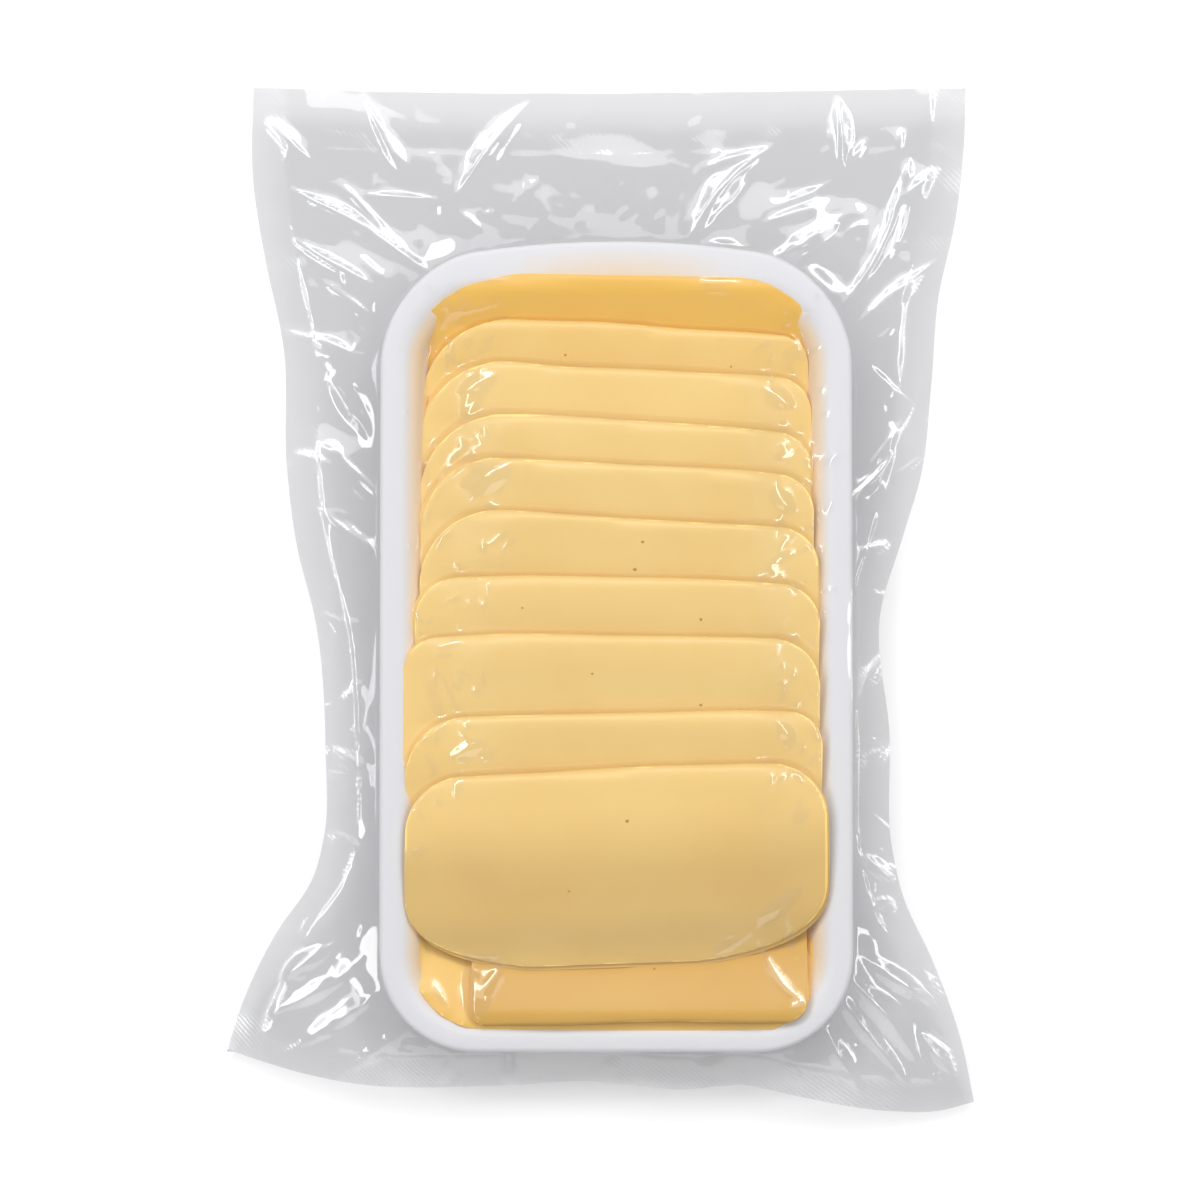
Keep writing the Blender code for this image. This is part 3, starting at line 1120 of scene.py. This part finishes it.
@dataclass
class VacuumFilm:
    """The pouch: two films sealed round their edges and drawn tight over the tray and slices."""

    tray: FoamTray
    left_edge: tuple = ((-117.0, -96.8), (-103.9, -92.4), (-86.7, -83.8), (-73.3, -74.6),
                        (-62.0, -71.4), (-40.0, -71.0), (-6.5, -73.6), (13.6, -78.6),
                        (33.9, -81.2), (65.3, -82.2), (89.0, -87.2), (109.1, -90.3),
                        (133.0, -90.3))
    right_edge: tuple = ((-130.5, 97.1), (-113.8, 93.4), (-94.0, 86.1), (-78.0, 78.6),
                         (-65.0, 75.5), (-35.8, 74.9), (-4.0, 72.6), (16.2, 78.6), (32.1, 83.3),
                         (54.0, 85.9), (78.6, 88.0), (98.4, 92.4), (117.5, 94.7), (133.0, 95.3))
    near_edge: tuple = ((-97.0, -116.9), (-86.0, -120.6), (-66.0, -125.3), (-26.0, -126.1),
                        (-3.0, -125.0), (21.0, -127.1), (38.0, -126.1), (51.0, -128.9),
                        (75.0, -132.8), (88.0, -132.8), (97.1, -130.5))
    far_edge: tuple = ((-90.3, 133.0), (-40.0, 131.6), (20.0, 131.6), (95.3, 133.0))
    level: float = 12.6
    fall: float = 12.0
    droop: float = 0.035
    near_droop: float = 0.2
    ripple: float = 0.3
    side_seal: float = 8.4
    end_seal: float = 8.0
    clearance: float = 0.15
    film_gap: float = 0.3
    pull_radius: float = 1.8
    slack_radius: float = 14.0
    # Size in millimetres, slope in degrees and number of each kind of crumple.
    crumples: tuple = ((24.0, 2.2, 3), (11.0, 2.6, 4), (5.5, 2.8, 4))
    radial_slope: float = 3.5
    radial_turns: tuple = (17, 29, 43)
    margin_creases: int = 170
    inner_creases: int = 150
    scatter_fall: float = 22.0
    # Y past which the margin is calmer, and the share of its scattered creases kept there.
    calm_from: float = -85.0
    calm_share: float = 0.35
    # Inside the rim the creases are wider and flatter than their rows say.
    inner_width: float = 2.2
    inner_ease: float = 8.0
    emboss: float = 0.3
    # How far outside the rim each film is held at the margin's height.
    front_held: float = 4.0
    back_held: float = 12.0
    # Creases are flatter on the seals and near the near end, and in the back film.
    seal_ease: float = 0.55
    near_ease: float = 0.45
    back_share: float = 0.92
    lowest: float = 0.02
    # Gap to the contents, and height of a crease, over which the film stops clinging.
    cling_gap: tuple[float, float] = (1.4, 4.0)
    cling_crease: tuple[float, float] = (0.02, 0.09)
    step: float = 0.6
    front_cell: float = 0.74
    back_cell: float = 1.6

    def raster(self) -> HeightRaster:
        """The field that both films are shaped on."""
        return HeightRaster((self.near_edge[0][0] - 2, -135.0), (self.near_edge[-1][0] + 2, 135.0),
                            self.step)

    def margin(self, x: Field, y: Field) -> Field:
        """Height of the sealed margin: it leaves the rim, levels off and droops to its edge.

        Args:
            x: Places across.
            y: Places along.

        Returns:
            The height at each place.
        """
        out = np.maximum(self.tray.distance(x, y), 0)
        start = self.tray.rim_height
        height = self.level + (start - self.level) * np.exp(-out / self.fall)
        waves = np.sin(x / 11.0 + 0.6) * np.sin(y / 14.0 + 1.1)
        droop = self.droop + self.near_droop * smooth_step(-60.0, -110.0, y)
        return height - droop * out + self.ripple * waves * smooth_step(4, 30, out)

    def crumple(self, x: Field, y: Field, rng: Random) -> Field:
        """Height of the film's crumples: flat facets between straight creases, here and there.

        Args:
            x: Places across.
            y: Places along.
            rng: Random numbers.

        Returns:
            The height at each place.
        """
        total = np.zeros_like(x)
        for size, slope, count in self.crumples:
            for _ in range(count):
                heading, *phase = rng.uniform(0, 2 * math.pi, 5)
                aside = y * math.cos(heading) - x * math.sin(heading)
                bend = 0.3 * size * np.sin(aside / (1.9 * size) + phase[0])
                run = (x * math.cos(heading) + y * math.sin(heading) + bend) / size + phase[1]
                wave = np.abs(run % 2 - 1) - 0.5
                patch = (np.sin(x / (2.1 * size) + phase[2] + bend / size)
                         * np.sin(y / (2.6 * size) + phase[3]))
                total += (wave * size * math.tan(math.radians(slope))
                          * smooth_step(-0.25, 0.35, patch))
        centre_x, centre_y = self.tray.centre
        across, along = x - centre_x, (y - centre_y) * self.tray.width / self.tray.length
        turn = np.arctan2(along, across)
        away = np.hypot(across, along)
        for turns in self.radial_turns:
            phase = rng.uniform(0, 2 * math.pi, 3)
            wander = 0.12 * np.sin(away / 9.0 + phase[0])
            wave = np.abs((turn / math.pi * turns + phase[1] + wander) % 2 - 1) - 0.5
            size = math.pi * away / turns
            patch = np.sin(turn * 5 + phase[2]) * np.sin(away / 13.0 + phase[0])
            total += (wave * size * math.tan(math.radians(self.radial_slope))
                      * smooth_step(-0.4, 0.5, patch))
        return total

    def large_pleats(self) -> list[Pleat]:
        """Lists the creases that fan out from the tray's corners and cross its sides.

        Returns:
            The creases, each from its inner to its outer end.
        """
        far_left = [
            ((-43, 83), (-82, 107), 4.2, 21, -1.5), ((-46, 84), (-69, 110), 2.6, 20),
            ((-57, 80), (-82, 95), 3.0, 20, 0, 0.3), ((-47, 104), (-62, 131), 3.4, 21),
            ((-38, 102), (-16, 131), 4.6, 20, 1.5), ((-38, 103), (-64, 105), 2.4, 20),
            ((-74, 112), (-88, 126), 4.0, 19), ((-30, 95), (-37, 101), 1.6, 18),
            ((-60, 62), (-84, 70), 3.0, 19), ((-56, 70), (-74, 84), 2.2, 19),
        ]
        far_right = [
            ((23, 91), (46, 118), 4.6, 21, 3.2), ((24, 91), (39, 90), 1.4, 19, 0.8),
            ((39, 84), (66, 101), 3.2, 21, 0, -0.3), ((23, 110), (46, 118), 2.2, 18),
            ((61, 73), (81, 118), 4.2, 20, -4.0), ((63, 110), (62, 132), 4.2, 22),
            ((64, 111), (70, 120), 2.2, 20), ((73, 99), (89, 112), 3.4, 21),
            ((67, 64), (82, 50), 1.6, 19, -1.5), ((66, 70), (88, 88), 3.2, 19),
            ((40, 96), (62, 104), 2.0, 17), ((44, 101), (66, 110), 1.8, 16),
        ]
        left_side = [
            ((-59, 41), (-71, 58), 3.4, 20), ((-66, 33), (-82, 38), 2.6, 20),
            ((-56, 25), (-70, 39), 2.0, 20), ((-53, 9), (-75, 26), 3.0, 20, 1.5),
            ((-60, 10), (-70, 14), 1.6, 20), ((-60, -24), (-68, -26), 2.0, 18),
            ((-58, -46), (-71, -38), 3.0, 20), ((-60, -66), (-72, -60), 2.4, 18),
            ((-59, -8), (-72, -6), 2.0, 17),
        ]
        right_side = [
            ((60, -17), (66, -4), 2.2, 20), ((66, -26), (76, -12), 2.8, 20),
            ((65, 11), (77, 14), 2.2, 20), ((62, 23), (77, 39), 2.8, 21, -1.5),
            ((68, 30), (79, 46), 2.0, 19), ((67, -44), (76, -38), 2.4, 18),
            ((66, -66), (77, -74), 3.0, 20), ((68, 2), (77, -2), 2.0, 18),
        ]
        near_left = [
            ((-66, -88), (-84, -99), 3.4, 18), ((-60, -92), (-87, -108), 3.0, 12, 1.5),
            ((-55, -101), (-82, -118), 3.0, 11), ((-58, -78), (-68, -80), 2.0, 14),
            ((-48, -110), (-66, -123), 2.6, 12), ((-36, -115), (-42, -126), 2.0, 12),
        ]
        near_right = [
            ((62, -97), (83, -122), 4.4, 22, 2.0), ((60, -101), (80, -126), 3.0, 20),
            ((66, -92), (88, -106), 3.4, 20), ((55, -107), (68, -129), 3.0, 19),
            ((68, -80), (77, -78), 2.2, 20), ((82, -112), (92, -124), 3.2, 20),
        ]
        near_side = [
            ((-23.5, -116.5), (-23.5, -127), 3.0, 20, 0, 0, 0.25), ((23, -120), (34, -116.5), 2.6, 20),
            ((4, -117), (2, -125), 2.0, 12), ((47, -115), (52, -127), 2.2, 17),
        ]
        rows = far_left + far_right + left_side + right_side + near_left + near_right + near_side
        return [Pleat(*row) for row in rows]

    @staticmethod
    def chance_pleat(rng: Random, start: tuple[float, float], heading: float,
                     reach: tuple[float, float], half_width: tuple[float, float],
                     slope: tuple[float, float], lean: float) -> Pleat:
        """Makes one small crease of a size within the given limits.

        Args:
            rng: Random numbers.
            start: Where the crease starts.
            heading: Which way it runs, in radians.
            reach: Least and greatest length.
            half_width: Least and greatest half width.
            slope: Least and greatest slope, in degrees.
            lean: How far its crest may lean either way.

        Returns:
            The crease.
        """
        length = rng.uniform(*reach)
        end = (start[0] + length * math.cos(heading), start[1] + length * math.sin(heading))
        return Pleat(start, end, rng.uniform(*half_width), rng.uniform(*slope),
                     rng.uniform(-0.8, 0.8), rng.uniform(-lean, lean))

    def small_pleats(self, rng: Random) -> list[Pleat]:
        """Scatters the fine crumples of the margin, most of them running out from the tray.

        Args:
            rng: Random numbers.

        Returns:
            The crumples.
        """
        crumples = []
        while len(crumples) < self.margin_creases:
            x, y = rng.uniform(-90, 90), rng.uniform(-125, 128)
            out = float(self.tray.distance(np.array(x), np.array(y)))
            if not 1.0 < out < 42.0 or rng.uniform() > math.exp(-out / self.scatter_fall):
                continue
            if y < self.calm_from and rng.uniform() > self.calm_share:
                continue
            heading = math.atan2(y - self.tray.centre[1], x - self.tray.centre[0])
            heading += rng.normal(0, 0.5)
            crumples.append(self.chance_pleat(rng, (x, y), heading, (3.5, 13.0), (0.6, 1.9),
                                              (7, 20), 0.5))
        return crumples

    def inner_pleats(self, rng: Random) -> list[Pleat]:
        """Scatters the fine creases over the slices' ends and the tray's walls.

        Args:
            rng: Random numbers.

        Returns:
            The creases.
        """
        creases = []
        for _ in range(self.inner_creases):
            side = rng.choice((-1, 1))
            x = rng.uniform(-49, -27) if side < 0 else rng.uniform(41, 57)
            y = rng.uniform(-60, 78)
            heading = math.pi / 2 - side * rng.uniform(-0.2, 1.3)
            creases.append(self.chance_pleat(rng, (x, y), heading, (3.0, 8.0), (0.7, 1.8),
                                             (7, 17), 0.6))
        left = [
            ((-33.5, 61), (-26, 69.5), 0.6, 20), ((-41, 63), (-30, 56), 0.6, 18),
            ((-34, 51), (-28, 58), 1.4, 20, 0, 0, 0.5, 1.25, 0.2),
            ((-36, 46.5), (-30, 52), 1.4, 20, 0, 0, 0.5, 1.25, 0.2), ((-36, 44), (-33, 47.5), 0.9, 20),
            ((-42, 29), (-31, 43), 0.7, 20, 1.2), ((-40, 28.5), (-30, 41), 0.6, 18),
            ((-34, 26), (-22, 34.5), 2.0, 20), ((-42, 11.5), (-40, 18), 0.8, 21),
            ((-46, 40), (-43, 25), 0.6, 18, -1), ((-30, 13), (-23, 17), 0.6, 20),
            ((-26, 10), (-19, 15.5), 0.6, 19, 1), ((-28, 7), (-21, 9.5), 0.5, 18),
            ((-41, -2), (-34, 0), 0.6, 19), ((-43, -14), (-35, -12), 0.7, 20, 0.6),
            ((-43.5, -15.5), (-38, -15), 0.6, 19), ((-46.5, -18), (-40, -38), 0.8, 20, 1),
            ((-43, -17), (-36, -36), 0.6, 18, 1.2), ((-39.5, -39), (-32.5, -43.5), 1.1, 21),
            ((-33, -41.5), (-25, -39.5), 0.8, 20, -0.8), ((-37, -34), (-33, -38), 0.7, 20),
            ((-42.5, -52), (-41, -54.5), 0.8, 20), ((-50, -67), (-44, -65), 0.9, 19),
            ((-36, -55), (-33.5, -23), 0.4, 14), ((-31, 81.5), (-23, 83), 0.6, 18),
            ((-38, 73), (-25, 77), 0.7, 19), ((-41, 69), (-36, 78), 0.8, 19),
        ]
        right = [
            ((23, 82), (37, 81.5), 0.8, 20), ((26, 80), (35, 79), 0.6, 20),
            ((40, 64), (46, 66), 0.6, 20, 0.6), ((48, 67), (51, 54), 0.6, 18, -0.5),
            ((41, 60), (45.5, 56), 0.6, 19), ((43, 55), (49, 48.5), 1.5, 21, 0, 0, 0.5, 1.25, 0.2),
            ((44, 50.5), (48, 52), 0.8, 20), ((46, 40), (49, 35.5), 0.7, 20, 0.8),
            ((44, 28.5), (50, 22.5), 1.6, 21), ((47, 14), (51, 16), 0.8, 19), ((41, 7), (50, 5), 0.7, 18),
            ((48, 0), (52, 4), 0.8, 18), ((46, -28), (48.5, -22), 0.7, 20),
            ((46, -33), (50, -35.5), 0.8, 20), ((50, -35.5), (47, -39.5), 1.0, 21),
            ((47.5, -43.5), (52, -48), 0.6, 19), ((53, -74), (39, -86), 1.3, 21, 0, 0, 0.5, 1.0),
            ((40, -86.5), (27, -93), 1.0, 16), ((40, -87), (57, -108), 0.9, 20, -2.6),
            ((47, -80), (51, -96), 0.6, 18),
        ]
        near = [
            ((-34.5, -95), (-32, -110), 2.4, 20, 1.5), ((-36, -92.5), (-24, -93.5), 0.8, 19),
            ((-24, -94), (-33, -108), 1.8, 20, -1.0), ((-28, -101), (-34, -109), 0.9, 20),
            ((-44, -98), (-39, -107), 1.0, 18), ((49, -104), (52, -107), 0.9, 20),
        ]
        flat = [
            ((-37, 28.5), (-22, 34), 3.6, 19), ((-38, 52.5), (-25.5, 58), 3.2, 19),
            ((-36.5, 47), (-31, 57.5), 2.4, 14), ((-34, 24.5), (-28, 34), 2.0, 14),
            ((51.5, 49), (41.5, 54.5), 3.0, 20), ((51.5, 22), (43, 27), 2.8, 20),
            ((51, -38.5), (45, -32), 2.4, 19), ((-40, -41.5), (-28, -37.5), 2.6, 19),
        ]
        wide = [replace(Pleat(*row), half_width=self.inner_width * row[2],
                        slope=row[3] - self.inner_ease) for row in left + right + near]
        facets = [replace(Pleat(*row), drawn_in=1.0, streak=0.0) for row in flat]
        return creases + wide + facets

    def contents(self, pieces: list[Piece], raster: HeightRaster, upward: bool) -> Field:
        """Feels the contents' surface with a straight probe at every place.

        Args:
            pieces: What the pouch holds.
            raster: The places.
            upward: True to feel the underside from below.

        Returns:
            The height at each place, or a height that is never met where nothing is.
        """
        tree = surface_tree(pieces)
        x, y = raster.places()
        origin_z, direction = (-50.0, Vector((0, 0, 1))) if upward else (90.0, Vector((0, 0, -1)))
        missed = 1e3 if upward else -1e3
        height = np.full(x.shape, missed)
        near = self.tray.distance(x, y) < 1.0
        for j, i in zip(*np.nonzero(near)):
            hit = tree.ray_cast(Vector((x[j, i], y[j, i], origin_z)), direction)[0]
            if hit is not None:
                height[j, i] = hit.z
        return height

    def draw_tight(self, under: Field, held: Field, rest: Field, radius: float) -> Field:
        """Draws a film down over what is under it, from coarse to fine.

        Args:
            under: Heights that the film can't pass.
            held: True where the film stays at its resting height.
            rest: The resting heights.
            radius: How tightly the film can turn, in millimetres.

        Returns:
            The film's heights.
        """
        film = None
        for coarse in (8, 4, 2, 1):
            low_under = under[::coarse, ::coarse]
            low_held = held[::coarse, ::coarse]
            low_rest = rest[::coarse, ::coarse]
            if film is None:
                film = np.maximum(low_under, low_rest)
            else:
                film = np.repeat(np.repeat(film, 2, axis=0), 2, axis=1)
                film = film[:low_under.shape[0], :low_under.shape[1]]
            load = (self.step * coarse) ** 2 / (4 * radius)
            film = np.where(low_held, low_rest, np.maximum(film, low_under))
            for _ in range(60 if coarse > 1 else 30):
                mean = neighbour_sum(film, "edge") / 4
                film = np.where(low_held, low_rest, np.maximum(mean - load, low_under))
        return film

    def seal_share(self, x: Field, y: Field) -> Field:
        """How much a place lies on a sealed band, 0 to 1.

        Args:
            x: Places across.
            y: Places along.

        Returns:
            The share at each place.
        """
        from_left = x - curve_through(self.left_edge, y)
        from_right = curve_through(self.right_edge, y) - x
        from_near = y - curve_through(self.near_edge, x)
        from_far = curve_through(self.far_edge, x) - y
        side = 1 - smooth_step(-0.4, 0.4, np.minimum(from_left, from_right) - self.side_seal)
        near = 1 - smooth_step(-0.4, 0.4, from_near - self.end_seal)
        far = smooth_step(8.6, 9.4, from_far) * (1 - smooth_step(15.2, 16.0, from_far))
        return np.maximum(np.maximum(side, near), 0.35 * far)

    def drawn_to_edges(self, x: Field, y: Field) -> tuple[Field, Field]:
        """Moves a net's points so that its border runs along the pouch's edges.

        Args:
            x: Places across on a plain rectangle.
            y: Places along.

        Returns:
            The moved places.
        """
        tray = self.tray
        left, right = tray.centre[0] - tray.width / 2, tray.centre[0] + tray.width / 2
        near, far = tray.centre[1] - tray.length / 2, tray.centre[1] + tray.length / 2
        low_x, high_x = self.near_edge[0][0], self.near_edge[-1][0]
        to_left = np.clip((left - x) / (left - low_x), 0, 1)
        to_right = np.clip((x - right) / (high_x - right), 0, 1)
        to_near = np.clip((near - y) / (near - self.near_edge[-1][1]), 0, 1)
        to_far = np.clip((y - far) / (self.far_edge[0][1] - far), 0, 1)
        new_y = np.where(to_near > 0, near + (curve_through(self.near_edge, x) - near) * to_near,
                         y)
        new_y = np.where(to_far > 0, far + (curve_through(self.far_edge, x) - far) * to_far, new_y)
        left_x = left + (curve_through(self.left_edge, new_y) - left) * to_left
        right_x = right + (curve_through(self.right_edge, new_y) - right) * to_right
        return np.where(to_left > 0, left_x, np.where(to_right > 0, right_x, x)), new_y

    def sheet(self, name: str, cell: float, raster: HeightRaster, heights: Field,
              cling: Field) -> Piece:
        """Lays one film on its heights.

        Args:
            name: The film's name.
            cell: Size of the net's cells.
            raster: The places of the heights.
            heights: The film's heights.
            cling: How closely the film clings to the contents, 0 to 1.

        Returns:
            The film, with its seals and where it clings marked in attributes.
        """
        low_x, high_x = self.near_edge[0][0], self.near_edge[-1][0]
        low_y, high_y = self.near_edge[-1][1], self.far_edge[0][1]
        piece = new_grid(name, round((high_x - low_x) / cell), round((high_y - low_y) / cell))
        canonical = get_points(piece)
        x = low_x + (canonical[:, 0] + 0.5) * (high_x - low_x)
        y = low_y + (canonical[:, 1] + 0.5) * (high_y - low_y)
        x, y = self.drawn_to_edges(x, y)
        z = raster.read(heights, x, y)
        set_points(piece, np.column_stack([x, y, z]) * MM)
        mark_points(piece, "seal", self.seal_share(x, y))
        mark_points(piece, "cling", raster.read(cling, x, y))
        return piece

    def build(self, held_pieces: list[Piece], material: Material) -> list[Piece]:
        """Draws both films over the contents and dresses them.

        Args:
            held_pieces: What the pouch holds.
            material: The film's finish.

        Returns:
            The front and the back film.
        """
        rng = np.random.default_rng(SEED)
        raster = self.raster()
        x, y = raster.places()
        margin = self.margin(x, y)
        out = self.tray.distance(x, y)
        creases = np.zeros_like(margin)
        for pleat in self.large_pleats() + self.small_pleats(rng):
            pleat.raise_on(raster, creases)
        creases *= smooth_step(-3.0, 1.5, out)
        inner = np.zeros_like(margin)
        for pleat in self.inner_pleats(rng):
            pleat.raise_on(raster, inner)
        inner *= 1 - smooth_step(-2.0, 0.0, out)
        seal = self.seal_share(x, y)
        flatter = 1 - self.seal_ease * seal
        flatter *= 1 - self.near_ease * smooth_step(self.calm_from, self.calm_from - 15, y)
        creases += self.crumple(x, y, rng) * smooth_step(0.0, 7.0, out) * flatter
        top = self.contents(held_pieces, raster, upward=False)
        over = np.maximum(top + self.clearance, np.where(out > 0, margin, -1e3))
        front = self.draw_tight(over, out > self.front_held, margin, self.pull_radius)
        front += creases + inner - self.emboss * seal
        base = self.contents(held_pieces, raster, upward=True)
        rest = self.film_gap - margin
        below = np.maximum(-base + self.clearance, np.where(out > 0, rest, -1e3))
        back = -self.draw_tight(below, out > self.back_held, rest, self.slack_radius)
        back += self.back_share * creases - self.emboss * seal
        back = np.maximum(np.minimum(back, front - self.film_gap), self.lowest)
        films = []
        for name, cell, heights, gap in (("film_front", self.front_cell, front, front - top),
                                         ("film_back", self.back_cell, back, base - back)):
            cling = ((1 - smooth_step(*self.cling_gap, gap))
                     * (1 - smooth_step(*self.cling_crease, inner)))
            piece = self.sheet(name, cell, raster, heights, cling)
            if name == "film_back":
                turn_over(piece)
            shade(piece, 180)
            finish_piece(piece, material)
            films.append(piece)
        return films


# ---------------------------------------------------------------- studio


@dataclass
class Studio:
    """White paper under the pack, soft strip lights round it and a camera above it."""

    paper: str = "F6F6F6"
    ambient: float = 0.5
    camera_height: float = 1.6
    camera_tilt: float = 3.0
    view_width: float = 313.2
    sensor: float = 36.0
    # Name, compass bearing in degrees, elevation, distance, length, breadth, power.
    lights: tuple = (("far_strip", 92.0, 50.0, 1.4, 1.4, 0.20, 5.0),
                     ("far_softbox", 96.0, 54.0, 1.5, 1.8, 0.7, 4.8),
                     ("far_left_strip", 134.0, 50.0, 1.4, 0.9, 0.18, 3.0),
                     ("far_right_strip", 48.0, 50.0, 1.4, 0.8, 0.18, 2.8),
                     ("left_strip", 178.0, 50.0, 1.4, 0.9, 0.18, 3.0),
                     ("right_strip", 4.0, 50.0, 1.4, 0.9, 0.16, 2.6),
                     ("near_softbox", 266.0, 44.0, 1.5, 1.6, 0.6, 2.8))

    def build(self) -> None:
        """Sets up the floor, lights, world and camera."""
        self.lay_paper()
        for light in self.lights:
            self.hang_light(*light)
        self.fill_world()
        self.place_camera()

    def lay_paper(self) -> None:
        """Lays a sheet of white paper under the pack."""
        deselect_all()
        bpy.ops.mesh.primitive_plane_add(size=6.0, location=(0.0, 0.0, -0.0005))
        paper = bpy.context.object
        paper.name = "studio_paper"
        paper.data.materials.append(PlainFinish("studio_paper", self.paper).material())

    @staticmethod
    def hang_light(name: str, bearing: float, elevation: float, distance: float, length: float,
                   breadth: float, power: float) -> None:
        """Hangs one strip light, aimed at the pack.

        Args:
            name: The light's name.
            bearing: Compass bearing in degrees from +X towards +Y.
            elevation: Degrees above the table.
            distance: Metres from the pack.
            length: The strip's length in metres, level with the table.
            breadth: The strip's breadth in metres.
            power: Its power in watts.
        """
        data = bpy.data.lights.new(name, "AREA")
        data.shape = "RECTANGLE"
        data.size, data.size_y = length, breadth
        data.energy = power
        lamp = bpy.data.objects.new(name, data)
        bpy.context.scene.collection.objects.link(lamp)
        level = math.cos(math.radians(elevation))
        place = Vector((level * math.cos(math.radians(bearing)),
                        level * math.sin(math.radians(bearing)),
                        math.sin(math.radians(elevation)))) * distance
        lamp.location = place
        lamp.rotation_euler = (-place).to_track_quat("-Z", "Y").to_euler()
        lamp.visible_camera = False

    def fill_world(self) -> None:
        """Fills the room with even white light."""
        world = bpy.data.worlds.new("studio")
        world.use_nodes = True
        background = world.node_tree.nodes["Background"]
        background.inputs["Color"].default_value = (1.0, 1.0, 1.0, 1.0)
        background.inputs["Strength"].default_value = self.ambient
        bpy.context.scene.world = world
        bpy.context.scene.view_settings.view_transform = "Standard"

    def place_camera(self) -> None:
        """Hangs the camera over the pack, a little towards its near end."""
        data = bpy.data.cameras.new("camera")
        data.sensor_width = self.sensor
        data.lens = self.sensor * self.camera_height / (self.view_width * MM)
        camera = bpy.data.objects.new("camera", data)
        bpy.context.scene.collection.objects.link(camera)
        tilt = math.radians(self.camera_tilt)
        camera.location = (0.0, -math.sin(tilt) * self.camera_height,
                           math.cos(tilt) * self.camera_height)
        camera.rotation_euler = (tilt, 0.0, 0.0)
        bpy.context.scene.camera = camera


def main() -> None:
    """Builds the pack inside its frame, then the studio round it."""
    logging.basicConfig(level=logging.INFO, format="%(message)s")
    Studio().build()
    tray = FoamTray()
    held = [tray.build(FoamedPolystyrene().material())]
    slices = SliceStack().build(tray, SemiHardCheese().material())
    held += slices
    # The pits' darker colour is painted shade for the hollow of each pinhole.
    PaintedPinholeShade().build(slices, PlainFinish("painted_pinhole_shade", "C08F38").material())
    VacuumFilm(tray).build(held, BarrierFilm().material())


if __name__ == "__main__":
    main()
